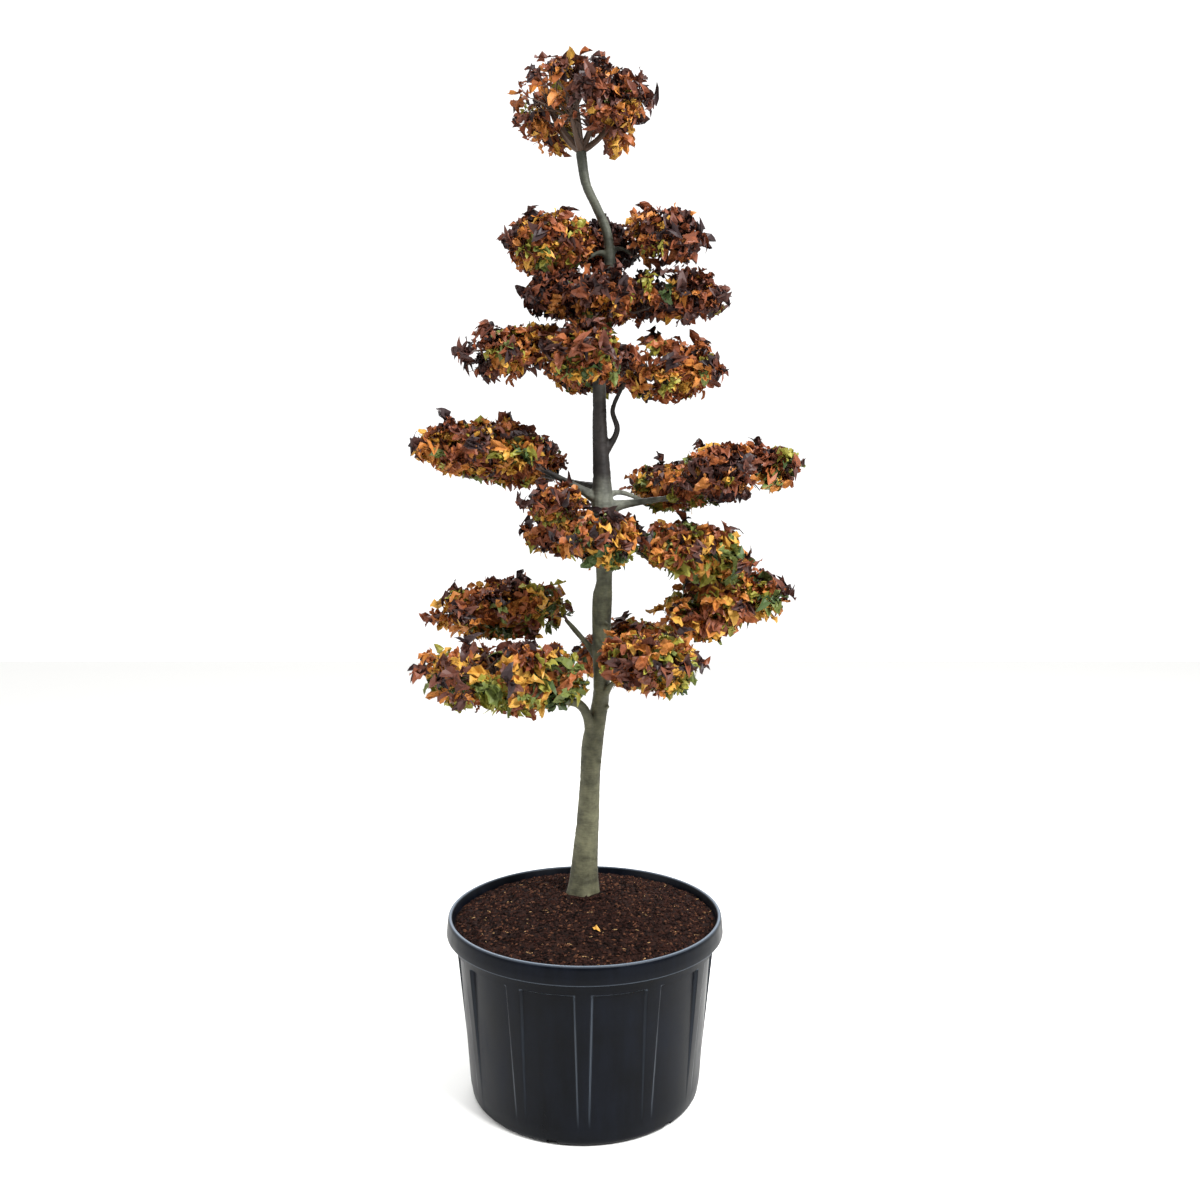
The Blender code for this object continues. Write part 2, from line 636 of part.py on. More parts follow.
def grow_mass(space, stem_start, stem_way, stem_radius, others, limbs, rng):
    """Grow one mass by rule: a stem, twigs that branch from it, and leaves at the twigs' ends.

    Twigs go to points spread evenly over the space. Most of them end inside the core, and
    their leaves stand out of it. A stray twig reaches on towards the space's outside.
    """
    middle, axes, sizes = space
    stem_end = middle + axes[0] * (sizes[0] * STEM_REACH)
    stem = [stem_start + stem_way * CLEARANCE, stem_start + stem_way * STEM_LEAD, middle, stem_end]
    widths = [stem_radius, stem_radius, 0.8 * stem_radius, 0.5 * stem_radius]
    built = skin(limb_rings(stem, widths, STEM_SIDES, first_direction=stem_way))
    shapes = [([v.co.copy() for v in built.verts], [[v.index for v in f.verts] for f in built.faces])]
    built.free()
    count = round(ellipsoid_area(sizes) * LEAVES_PER_SQUARE_METRE)
    for i, direction in enumerate(spread(count, rng)):
        far_end = i < 4
        stray = far_end or (rng.random() < STRAY_SHARE and abs(direction[2]) < 0.75)
        tip = point_in(space, direction, TIP_SHARE if stray else BODY_SHARE * rng.uniform(0.94, 1.06))
        out = outward(space, tip)
        along_stem = max(0.0, min(1.0, (tip - middle).dot(axes[0]) / sizes[0]))
        node = middle + (stem_end - middle) * along_stem
        growth = (tip - node).normalized()
        wobble = jitter(rng, 0.05 if far_end else 0.25) - Vector((0, 0, 0.12))
        face_way = (out + jitter(rng, 0.4)).normalized()
        width = LEAF_WIDTH * rng.uniform(0.88, 1.12)
        for lean in LEAF_LEANS:
            way = (growth + lean * out + wobble).normalized()
            root = leaf_root(space, tip, way)
            if root is not None or stray:
                break
        if root is None and not stray:
            continue
        if stray:
            root = tip - way * LEAF_STEP * LEAF_LONGEST
        if abs(face_way.dot(way)) > 0.9:
            face_way = Vector((0, 0, 1))
        leaf = leaf_mesh(root, tip, face_way, width)
        if not keeps_to_space(leaf, space, others, limbs):
            continue
        shapes.append(leaf)
        if stray and depth_in(space, root) > CORE_SHARE * (1 - CORE_LUMPS):
            twig = twig_mesh(node, root + (tip - root) * 0.25, TWIG_RADIUS)
            if keeps_to_space(twig, space, others, limbs):
                shapes.append(twig)
            else:
                shapes.pop()
    return shapes


def core_shape(space, rng):
    """Return the dense middle of a pad, a lumpy rounded body smaller than its space."""
    built = bmesh.new()
    bmesh.ops.create_icosphere(built, subdivisions=2, radius=1.0)
    points = []
    for vert in built.verts:
        share = CORE_SHARE * (1 + rng.uniform(-CORE_LUMPS, CORE_LUMPS))
        points.append(point_in(space, vert.co.normalized(), share))
    faces = [[v.index for v in face.verts] for face in built.faces]
    built.free()
    return points, faces


def shape_object(name, shape, material):
    """Turn points and faces into an object."""
    mesh = bpy.data.meshes.new(name)
    mesh.from_pydata([tuple(point) for point in shape[0]], [], shape[1])
    mesh.materials.append(material)
    thing = bpy.data.objects.new(name, mesh)
    return thing


def is_clean(mesh):
    """Say whether every edge has two faces once points that nearly meet are made one."""
    built = bmesh.new()
    built.from_mesh(mesh)
    bmesh.ops.remove_doubles(built, verts=built.verts, dist=WELD_DISTANCE)
    clean = all(len(edge.link_faces) == 2 for edge in built.edges)
    built.free()
    return clean


def fuse(name, shapes, material, parent):
    """Join the shapes of a mass into one body by one Boolean union on a collection."""
    group = bpy.data.collections.new("joined_" + name)
    bpy.context.scene.collection.children.link(group)
    body = shape_object(name, shapes[0], material)
    bpy.context.scene.collection.objects.link(body)
    for i, shape in enumerate(shapes[1:]):
        group.objects.link(shape_object(f"{name}_{i}", shape, material))
    modifier = body.modifiers.new("join", "BOOLEAN")
    modifier.operation = "UNION"
    modifier.solver = "EXACT"
    modifier.operand_type = "COLLECTION"
    modifier.collection = group
    apply_modifiers(body)
    for thing in list(group.objects):
        bpy.data.objects.remove(thing, do_unlink=True)
    bpy.data.collections.remove(group)
    keep_main_body(body)
    body.parent = parent
    return body


def tree_of(things):
    """Return one search tree over the surfaces of several objects."""
    points = []
    faces = []
    for thing in things:
        first = len(points)
        points += [thing.matrix_world @ vert.co for vert in thing.data.vertices]
        faces += [[first + index for index in face.vertices] for face in thing.data.polygons]
    return BVHTree.FromPolygons(points, faces)


def main():
    clear_scene()
    plant = bpy.data.objects.new("potted_beech", None)
    bpy.context.scene.collection.objects.link(plant)
    pot_plastic = plain_material("pot plastic", "23272F", 0.45)
    peat = plain_material("peat and bark soil", "3B221A", 0.95)
    bark = plain_material("beech bark", "6B6A5A", 0.75)
    tints = {
        "tier1": plain_material("leaves gold and copper", "8A5A22", 0.65),
        "tier2": plain_material("leaves copper and green", "7A4C22", 0.65),
        "tier3": plain_material("leaves ochre", "80501F", 0.65),
        "tier4": plain_material("leaves copper", "6E3E1E", 0.65),
        "tier5": plain_material("leaves brown", "62371F", 0.65),
        "tier6": plain_material("leaves purple brown", "57301E", 0.65),
        "head": plain_material("leaves dark copper", "5C351E", 0.65),
    }
    build_pot(pot_plastic, plant)
    build_soil(peat, plant)
    trunk = as_object("trunk", trunk_mesh(), bark, plant)

    limbs = [trunk]
    starts = {}
    for name, pad in PADS.items():
        trunk_radius = 0.5 * min(TRUNK_STATIONS, key=lambda row: abs(row[0] - pad["leaves_trunk"]))[3]
        bough, tip, way, radius = build_bough(name, pad, trunk_radius, bark, plant)
        limbs.append(bough)
        starts[name] = (tip, way, radius)
    top, below = [Vector(station[:3]) for station in reversed(trunk_stations()[-2:])]
    starts["head"] = (top, (top - below).normalized(), HEAD_STEM_SHARE * TRUNK_STATIONS[-1][3])

    spaces = {name: pad_space(pad) for name, pad in PADS.items()}
    spaces["head"] = head_space()
    limb_tree = tree_of(limbs)
    for number, (name, space) in enumerate(spaces.items()):
        others = [other for other_name, other in spaces.items()
                  if other_name != name and (other[0] - space[0]).length < NEIGHBOUR_DISTANCE]
        for attempt in range(REGROWTHS):
            rng = random.Random(SEED + number + attempt * len(spaces))
            core = core_shape(space, rng)
            shapes = [core] + grow_mass(space, *starts[name], others, limb_tree, rng)
            mass = fuse("foliage_" + name, shapes, tints[name.split("_")[0]], plant)
            if is_clean(mass.data):
                break
            bpy.data.objects.remove(mass, do_unlink=True)


main()
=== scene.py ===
# %% [markdown]
# # Potted european beech, dressed
# This lesson dresses a young beech that has been trained into tiers of leafy pads. The packed
# model is the frame: every piece below is put where the frame has it and rides on its one body.

# %% Load the frame
import math
import random

import bpy
import numpy as np
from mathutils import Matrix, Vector, noise


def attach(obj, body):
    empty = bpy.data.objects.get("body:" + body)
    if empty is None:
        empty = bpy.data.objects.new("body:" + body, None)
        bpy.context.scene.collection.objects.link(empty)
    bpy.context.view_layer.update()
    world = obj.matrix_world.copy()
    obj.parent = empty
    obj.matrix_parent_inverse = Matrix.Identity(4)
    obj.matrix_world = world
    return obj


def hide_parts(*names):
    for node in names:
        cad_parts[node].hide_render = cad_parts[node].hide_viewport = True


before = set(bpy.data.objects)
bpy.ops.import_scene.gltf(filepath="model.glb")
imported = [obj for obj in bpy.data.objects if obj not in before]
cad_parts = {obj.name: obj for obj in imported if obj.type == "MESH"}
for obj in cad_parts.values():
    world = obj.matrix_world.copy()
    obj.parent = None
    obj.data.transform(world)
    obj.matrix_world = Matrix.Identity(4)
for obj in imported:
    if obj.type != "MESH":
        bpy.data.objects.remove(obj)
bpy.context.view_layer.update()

# %% [markdown]
# ## Small tools
# A few helpers do the chores. The first cell is for materials: it turns an sRGB hex colour into
# Blender's linear numbers, adds a shader node with its settings and links, and starts a material.
# The second is for meshes: it selects, leaves a finished object at the origin with its place in
# its mesh, and hands a piece to the frame.

# %% Colours, nodes and materials
def linear(hex_colour, alpha=1.0):
    """Return an sRGB hex colour as linear red, green, blue and alpha."""
    channels = [int(hex_colour[i:i + 2], 16) / 255 for i in (0, 2, 4)]
    return (*[c / 12.92 if c <= 0.04045 else ((c + 0.055) / 1.055) ** 2.4 for c in channels], alpha)


def add_node(tree, kind, links=(), **settings):
    """Add a node; settings are its properties or its inputs, and links join it to its neighbours."""
    node = tree.nodes.new(kind)
    for name, value in settings.items():
        if name in node.bl_rna.properties:
            setattr(node, name, value)
        else:
            socket = next(s for s in node.inputs if s.name.replace(" ", "_") == name)
            socket.default_value = value
    for source, socket_name in links:
        tree.links.new(source, node.inputs[socket_name])
    return node


def new_material(name):
    """Return a new material with nodes, its node tree and its surface shader."""
    material = bpy.data.materials.new(name)
    material.use_nodes = True
    tree = material.node_tree
    return material, tree, tree.nodes["Principled BSDF"]


def plain_material(name, hex_colour, **settings):
    """Return a material of one colour; settings are further inputs of its shader."""
    material, _, shader = new_material(name)
    shader.inputs["Base Color"].default_value = linear(hex_colour)
    for socket_name, value in settings.items():
        shader.inputs[socket_name.replace("_", " ")].default_value = value
    return material


print("mid grey is", round(linear("808080")[0], 3), "in linear numbers")


# %% Meshes and pieces
def only(*things):
    """Select these objects and nothing else, and make the first one active."""
    if bpy.context.object and bpy.context.object.mode != "OBJECT":
        bpy.ops.object.mode_set(mode="OBJECT")
    bpy.ops.object.select_all(action="DESELECT")
    for thing in things:
        thing.select_set(True)
    bpy.context.view_layer.objects.active = things[0]


def settle(thing):
    """Leave an object at the origin, unturned and unscaled, with its place in its mesh."""
    only(thing)
    bpy.ops.object.transform_apply(location=True, rotation=True, scale=True)


def hand_over(thing, slot, *nodes):
    """Let a finished piece ride on the frame's body and stand for its nodes."""
    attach(thing, "root")
    if nodes:
        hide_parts(*nodes)
    print(thing.name, len(thing.data.polygons), "faces")


def new_mesh(name, points, faces, material):
    """Make an object from arrays of points and faces."""
    mesh = bpy.data.meshes.new(name)
    mesh.from_pydata(points, [], faces)
    mesh.materials.append(material)
    thing = bpy.data.objects.new(name, mesh)
    bpy.context.scene.collection.objects.link(thing)
    return thing


bpy.ops.object.select_all(action="DESELECT")
print("selected", len(bpy.context.selected_objects))

# %% [markdown]
# ## The camera
# The photograph looks slightly down at the plant from standing height. Its place was worked out
# from the ellipses of the pot's rim and foot, so that the frame fills the picture as the plant does.

# %% Camera
CAMERA_PLACE = (0.0355, -2.53, 1.39)
CAMERA_PITCH = math.radians(5.1)
FOCAL_SHARE = 1100 / 1200
SENSOR = 36.0

bpy.ops.object.camera_add(location=CAMERA_PLACE, rotation=(math.pi / 2 - CAMERA_PITCH, 0, 0))
camera = bpy.context.object
camera.name = "photo_view"
camera.data.sensor_width = SENSOR
camera.data.lens = SENSOR * FOCAL_SHARE
bpy.context.scene.camera = camera
print("lens", round(camera.data.lens, 1), "mm")

# %% [markdown]
# ## Floor and light
# The plant stands on a plain pale floor. A soft light comes from the upper right and a weaker
# one from the left. The room's light is white from above and behind and dim in front, so that
# the dark pot has something dark to mirror; seen directly, the room is white all round.

# %% Floor and lights
FLOOR_SIZE = 14.0

bpy.ops.mesh.primitive_plane_add(size=FLOOR_SIZE, location=(0, 0, 0))
floor = bpy.context.object
floor.name = "studio_floor"
floor.data.materials.append(plain_material("white studio paper, matt", "F7F7F5", Roughness=0.9))
settle(floor)


def soft_light(name, place, aim, size, watts):
    """Add a square soft light that looks at a point."""
    turn = (Vector(aim) - Vector(place)).to_track_quat("-Z", "Y").to_euler()
    bpy.ops.object.light_add(type="AREA", location=place, rotation=turn)
    light = bpy.context.object
    light.name = name
    light.data.size = size
    light.data.energy = watts
    return light


soft_light("key_light", (2.3, -2.3, 3.9), (0, 0, 1.2), 1.4, 320)
soft_light("fill_light", (-3.0, -1.2, 2.2), (0, 0, 1.0), 2.0, 45)
soft_light("back_light", (-0.8, 3.0, 3.6), (0, 0, 1.2), 2.4, 90)
print("lights", len(bpy.data.lights))

# %% The room's own light
# The room is brightest in this direction, and its strength runs between these two.
BRIGHT_WAY = (0.0, 0.8, 0.9)
DIM_STRENGTH = 0.10
BRIGHT_STRENGTH = 1.2

world = bpy.data.worlds.new("pale room")
bpy.context.scene.world = world
world.use_nodes = True
room = world.node_tree
way = add_node(room, "ShaderNodeTexCoord")
tilted = add_node(room, "ShaderNodeVectorMath", [(way.outputs["Generated"], 0)], operation="DOT_PRODUCT")
tilted.inputs[1].default_value = BRIGHT_WAY
glow = add_node(room, "ShaderNodeMapRange", [(tilted.outputs["Value"], "Value")],
                From_Min=-0.12, From_Max=0.5, To_Min=DIM_STRENGTH, To_Max=BRIGHT_STRENGTH)
seen = add_node(room, "ShaderNodeLightPath")
level = add_node(room, "ShaderNodeMath", [(glow.outputs["Result"], 0), (seen.outputs["Is Camera Ray"], 1)],
                 operation="MAXIMUM")
room.links.new(level.outputs["Value"], room.nodes["Background"].inputs["Strength"])
room.nodes["Background"].inputs["Color"].default_value = linear("FFFFFF")
bpy.context.scene.view_settings.view_transform = "Standard"
print("room strength", DIM_STRENGTH, "to", BRIGHT_STRENGTH)

# %% [markdown]
# ## The pot
# The real pot is blown from dark polyethylene: a tapered tub with twelve sunk panels between
# ribs and a rim that folds out and down. It is raised here as a potter would, by extruding a
# circle ring by ring, and then the panels are pushed in where they are.

# %% Pot sizes
POT_HEIGHT = 0.427
FOOT_RADIUS = 0.269
SHOULDER_RADIUS = 0.307
RIM_DROP = 0.042
FOOT_ROUNDING = 0.015
PANEL_COUNT = 12
PANEL_WIDTH = 0.115
PANEL_DEPTH = 0.008
PANEL_FOOT = 0.045
PANEL_HEAD = 0.352
PANEL_EDGE = 0.005
# The wall's rings crowd where the panels' heads are. The rest of the outline is radius and height.
WALL_HEIGHTS = (0.03, 0.045, 0.08, 0.14, 0.20, 0.26, 0.31, 0.340, 0.348, 0.352, 0.3532, 0.3545,
                0.3558, 0.357, 0.3585, 0.362, 0.400)
SLOT_HEAD = ((0.312, 0.4065), (0.3175, 0.4065), (0.3195, 0.4035))
SKIRT_FOOT = ((0.3205, 0.3880), (0.3213, 0.3858), (0.3228, 0.3850), (0.3243, 0.3858), (0.3250, 0.3885))
LIP = ((0.3238, 0.4020), (0.3222, 0.4170), (0.3212, 0.4232), (0.3196, 0.4262), (0.3180, 0.4270),
       (0.3150, 0.4270), (0.3132, 0.4262), (0.3118, 0.4236))
INSIDE = ((0.3080, 0.4080), (0.2915, 0.3600), (0.2770, 0.2000), (0.2630, 0.0060))
POT_SEGMENTS = 1080


def body_radius(height):
    """Return the pot's outer radius on its ribs at a height."""
    return FOOT_RADIUS + (SHOULDER_RADIUS - FOOT_RADIUS) * height / (POT_HEIGHT - RIM_DROP)


def raise_ring(height_step, factor):
    """Extrude the selected ring straight up and scale it about the pot's axis."""
    bpy.ops.mesh.extrude_region_move(TRANSFORM_OT_translate={"value": (0, 0, height_step)})
    bpy.ops.transform.resize(value=(factor, factor, 1), center_override=(0, 0, 0))


print("foot", round(body_radius(0) * 2, 3), "m across, shoulder", round(SHOULDER_RADIUS * 2, 3))


# %% Raise the pot
def pot_profile():
    """Return the rings of the pot as radius and height, from the underside round to the floor."""
    rings = []
    for turn in (math.radians(18 * step) for step in range(6)):
        rings.append((FOOT_RADIUS - FOOT_ROUNDING + FOOT_ROUNDING * math.sin(turn),
                      FOOT_ROUNDING - FOOT_ROUNDING * math.cos(turn)))
    rings += [(body_radius(height), height) for height in WALL_HEIGHTS]
    return [*rings, *SLOT_HEAD, *SKIRT_FOOT, *LIP, *INSIDE]


profile = pot_profile()
bpy.ops.mesh.primitive_circle_add(vertices=POT_SEGMENTS, radius=profile[0][0], fill_type="NGON")
pot = bpy.context.object
pot.name = "pot_shell"
bpy.ops.object.mode_set(mode="EDIT")
bpy.ops.mesh.select_mode(type="EDGE")
bpy.ops.mesh.select_all(action="SELECT")
bpy.ops.mesh.region_to_loop()
for (radius, height), (next_radius, next_height) in zip(profile, profile[1:]):
    raise_ring(next_height - height, next_radius / radius)
bpy.ops.mesh.edge_face_add()
bpy.ops.mesh.select_all(action="SELECT")
bpy.ops.mesh.normals_make_consistent(inside=False)
bpy.ops.object.mode_set(mode="OBJECT")
print("pot rings", len(profile))

# %% Sink the panels
WALL_TOLERANCE = 0.001
PANEL_LIMIT = 0.37

pot_points = np.empty(len(pot.data.vertices) * 3)
pot.data.vertices.foreach_get("co", pot_points)
pot_points = pot_points.reshape(-1, 3)
radii = np.hypot(pot_points[:, 0], pot_points[:, 1])
turns = np.arctan2(pot_points[:, 1], pot_points[:, 0]) + math.pi / 2
sector = 2 * math.pi / PANEL_COUNT
from_middle = np.abs((turns % sector) - sector / 2) * radii
side_share = np.clip((PANEL_WIDTH / 2 + PANEL_EDGE - from_middle) / PANEL_EDGE, 0, 1)
height_share = np.clip((pot_points[:, 2] - PANEL_FOOT) / (PANEL_HEAD - PANEL_FOOT), 0, 1)
head_share = np.clip((PANEL_HEAD + PANEL_EDGE - pot_points[:, 2]) / PANEL_EDGE, 0, 1)
on_wall = radii > np.array([body_radius(z) for z in pot_points[:, 2]]) - WALL_TOLERANCE
below_rim = pot_points[:, 2] < PANEL_LIMIT
smooth_side = side_share * side_share * (3 - 2 * side_share)
sink = PANEL_DEPTH * smooth_side * height_share * head_share * on_wall * below_rim
pot_points[:, :2] *= (1 - sink / np.maximum(radii, 0.01))[:, None]
pot.data.vertices.foreach_set("co", pot_points.ravel())
pot.data.update()
print("deepest panel", round(float(sink.max()) * 1000, 1), "mm")

# %% Paint highlights on the pot's edges
# Pale painted highlights lie on the panels' edges, stronger on the ones that face the light, on
# the heads of the panels, on the lip, and on the foot of the rim's skirt.
LIT_EDGE, SHADED_EDGE, HEAD_HIGHLIGHT, SKIRT_HIGHLIGHT = 0.38, 0.10, 0.34, 0.6
LIP_BAND = 0.0012
LIP_INNER_RADIUS = 0.31
SKIRT_HEIGHT = 0.3852
SKIRT_BAND = 0.0025

on_edge = (head_share > 0) * (sink > 0)
edge_highlight = 4 * side_share * (1 - side_share) * np.clip(height_share * 5, 0, 1) * on_edge
head_highlight = 4 * head_share * (1 - head_share) * (side_share > 0.1) * on_wall * below_rim
lip_highlight = np.clip(1 - np.abs(pot_points[:, 2] - POT_HEIGHT) / LIP_BAND, 0, 1)
lip_highlight *= radii > LIP_INNER_RADIUS
skirt_highlight = np.clip(1 - np.abs(pot_points[:, 2] - SKIRT_HEIGHT) / SKIRT_BAND, 0, 1)
skirt_highlight *= radii > SKIRT_FOOT[0][0]
# Painted highlight: edges that face the light get the stronger share, edges in shade the weaker.
facing = np.where(((turns % sector) > sector / 2) == (pot_points[:, 0] < 0), LIT_EDGE, SHADED_EDGE)
painted_highlight = np.maximum.reduce([facing * edge_highlight, HEAD_HIGHLIGHT * head_highlight, lip_highlight, SKIRT_HIGHLIGHT * skirt_highlight])
pot.data.attributes.new("painted_highlight", "FLOAT", "POINT").data.foreach_set("value", painted_highlight)
print("points with painted highlights", int((painted_highlight > 0.05).sum()), "of", len(painted_highlight))

# %% [markdown]
# ## The drain holes
# Water leaves through six low holes at the foot, one under every second panel. Cubes laid
# across the wall cut them out.

# %% Cut the drain holes
DRAIN_COUNT = 6
# The first hole's bearing in degrees, under the middle of a front panel.
FIRST_DRAIN = -105
DRAIN_MIDDLE = 0.2615
DRAIN_SIZE = (0.055, 0.024, 0.022)

cutters = []
for index in range(DRAIN_COUNT):
    turn = math.radians(360 // DRAIN_COUNT * index + FIRST_DRAIN)
    place = (DRAIN_MIDDLE * math.cos(turn), DRAIN_MIDDLE * math.sin(turn), 0)
    bpy.ops.mesh.primitive_cube_add(size=1, location=place, rotation=(0, 0, turn))
    bpy.context.object.scale = DRAIN_SIZE
    cutters.append(bpy.context.object)
only(*cutters)
bpy.ops.object.join()
cutter = bpy.context.object
only(pot)
cut = pot.modifiers.new("drain holes", "BOOLEAN")
cut.object = cutter
bpy.ops.object.modifier_apply(modifier="drain holes")
bpy.data.objects.remove(cutter)
only(pot)
bpy.ops.object.shade_smooth_by_angle(angle=math.radians(40))
print("drain holes", DRAIN_COUNT)

# %% [markdown]
# ## The pot's plastic
# Blow-moulded black polyethylene is never quite black outdoors: a thin blue-grey bloom of dust
# dulls it, and pale highlights are painted along its edges. Fine grain from the mould gives the satin look.

# %% Pot plastic
def pot_plastic():
    """Return satin polyethylene: index 1.51, a dusty bloom, and streaks that run down the wall."""
    material, tree, shader = new_material("polyethylene, blow moulded, dusty")
    place = add_node(tree, "ShaderNodeTexCoord")
    streaks = add_node(tree, "ShaderNodeMapping", [(place.outputs["Object"], "Vector")], Scale=(38, 38, 5))
    bloom = add_node(tree, "ShaderNodeTexNoise", [(streaks.outputs["Vector"], "Vector")],
                     Scale=1.0, Detail=5.0, Roughness=0.6)
    blotch = add_node(tree, "ShaderNodeTexNoise", [(place.outputs["Object"], "Vector")],
                      Scale=9.0, Detail=4.0, Roughness=0.55)
    both = add_node(tree, "ShaderNodeMath", [(bloom.outputs["Fac"], 0), (blotch.outputs["Fac"], 1)],
                    operation="MULTIPLY")
    ramp = add_node(tree, "ShaderNodeValToRGB", [(both.outputs["Value"], "Fac")])
    ramp.color_ramp.elements[0].position = 0.14
    ramp.color_ramp.elements[0].color = linear("04060B")
    ramp.color_ramp.elements[1].position = 0.42
    ramp.color_ramp.elements[1].color = linear("0B0F18")
    # A pale blue-grey painted highlight is mixed in along the marked edges, lip and skirt foot.
    highlight_mask = add_node(tree, "ShaderNodeAttribute", attribute_name="painted_highlight")
    highlight_mix = add_node(tree, "ShaderNodeMix", [(highlight_mask.outputs["Fac"], 0), (ramp.outputs["Color"], 6)],
                     data_type="RGBA")
    highlight_mix.inputs[7].default_value = linear("66707C")
    tree.links.new(highlight_mix.outputs[2], shader.inputs["Base Color"])
    rough = add_node(tree, "ShaderNodeMapRange", [(both.outputs["Value"], "Value")],
                     From_Min=0.1, From_Max=0.45, To_Min=0.26, To_Max=0.46)
    tree.links.new(rough.outputs["Result"], shader.inputs["Roughness"])
    grain = add_node(tree, "ShaderNodeTexNoise", [(place.outputs["Object"], "Vector")],
                     Scale=420.0, Detail=2.0)
    bump = add_node(tree, "ShaderNodeBump", [(grain.outputs["Fac"], "Height")],
                    Strength=0.12, Distance=0.0006)
    tree.links.new(bump.outputs["Normal"], shader.inputs["Normal"])
    shader.inputs["IOR"].default_value = 1.51
    shader.inputs["Specular IOR Level"].default_value = 0.09
    return material


pot.data.materials.append(pot_plastic())
hand_over(pot, "pot", "pot")

# %% [markdown]
# ## The soil
# Moist growing soil is a heap of crumbs of peat and bark, red-brown with straw-coloured flecks.
# A dome carries the shape; crumbs of a few faces each are strewn on it as one joined mesh.

# %% Soil dome
SOIL_EDGE_RADIUS = 0.3075
SOIL_EDGE_HEIGHT = 0.410
SOIL_TOP = 0.4735
SOIL_FALL = 1.5
SEAT_RADIUS = 0.060
SEAT_STEP = 0.004
TRUNK_FOOT = (-0.006, 0.0)
# Each kind of lump: its height, how many to the metre, and where its pattern is read.
SOIL_LUMPS = ((0.004, 22, 1.7), (0.0022, 70, 4.1))
SOIL_RINGS = 26
SOIL_RING_WIDTH = 0.0112


def soil_height(x, y):
    """Return the height of the soil's dome at a place, with soft lumps."""
    reach = math.hypot(x, y)
    share = min(1.0, max(0.0, (reach - SEAT_RADIUS) / (SOIL_EDGE_RADIUS - SEAT_RADIUS)))
    lump = sum(rise * noise.noise(Vector((x * often, y * often, where))) for rise, often, where in SOIL_LUMPS)
    dome = SOIL_TOP - SEAT_STEP * (share > 0) - (SOIL_TOP - SOIL_EDGE_HEIGHT) * share ** SOIL_FALL
    return dome + lump * min(1, 4 * share)


bpy.ops.mesh.primitive_circle_add(vertices=96, radius=SOIL_EDGE_RADIUS, fill_type="NGON")
soil = bpy.context.object
soil.name = "soil_dome"
bpy.ops.object.mode_set(mode="EDIT")
bpy.ops.mesh.select_all(action="SELECT")
for _ in range(SOIL_RINGS):
    bpy.ops.mesh.inset(thickness=SOIL_RING_WIDTH)
bpy.ops.object.mode_set(mode="OBJECT")
for vert in soil.data.vertices:
    vert.co.z = soil_height(vert.co.x, vert.co.y)
only(soil)
bpy.ops.object.shade_smooth()
print("soil points", len(soil.data.vertices))


# %% Peat
def soil_material(name, dark, light):
    """Return crumbly peat: fully rough, mottled at 6 mm for crumbs and at 30 mm for damp patches."""
    material, tree, shader = new_material(name)
    place = add_node(tree, "ShaderNodeTexCoord")
    crumbs = add_node(tree, "ShaderNodeTexVoronoi", [(place.outputs["Object"], "Vector")], Scale=160.0)
    damp = add_node(tree, "ShaderNodeTexNoise", [(place.outputs["Object"], "Vector")], Scale=34.0, Detail=6.0)
    both = add_node(tree, "ShaderNodeMath", [(crumbs.outputs["Distance"], 0), (damp.outputs["Fac"], 1)],
                    operation="MULTIPLY")
    ramp = add_node(tree, "ShaderNodeValToRGB", [(both.outputs["Value"], "Fac")])
    ramp.color_ramp.elements[0].position = 0.05
    ramp.color_ramp.elements[0].color = linear(light)
    ramp.color_ramp.elements[1].position = 0.42
    ramp.color_ramp.elements[1].color = linear(dark)
    tree.links.new(ramp.outputs["Color"], shader.inputs["Base Color"])
    bump = add_node(tree, "ShaderNodeBump", [(both.outputs["Value"], "Height")], Strength=0.7, Distance=0.003)
    tree.links.new(bump.outputs["Normal"], shader.inputs["Normal"])
    shader.inputs["Roughness"].default_value = 0.95
    shader.inputs["Specular IOR Level"].default_value = 0.1
    return material


soil.data.materials.append(soil_material("peat and composted bark, moist", "0E0706", "2C1A14"))
hand_over(soil, "soil", "soil")

# %% Soil crumbs
CRUMB_COUNT = 9500
CRUMB_TINTS = ("150B09", "2F1B15", "523526", "A08058")
CRUMB_SHARES = (0.50, 0.38, 0.105, 0.015)
STRAW = 3
# Half sizes and how many times longer than wide, for straw and for other crumbs.
STRAW_SIZE, STRAW_STRETCH = (0.0012, 0.0020), (2.5, 6.0)
CRUMB_SIZE, CRUMB_STRETCH = (0.0020, 0.0048), (1.0, 1.7)
CRUMB_EDGE = 0.006
TRUNK_CLEARANCE = 0.044
CRUMB_CORNERS = ((1, 0, 0), (-1, 0, 0), (0, 1, 0), (0, -1, 0), (0, 0, 1), (0, 0, -1))
CRUMB_SIDES = ((0, 2, 4), (2, 1, 4), (1, 3, 4), (3, 0, 4), (2, 0, 5), (1, 2, 5), (3, 1, 5), (0, 3, 5))


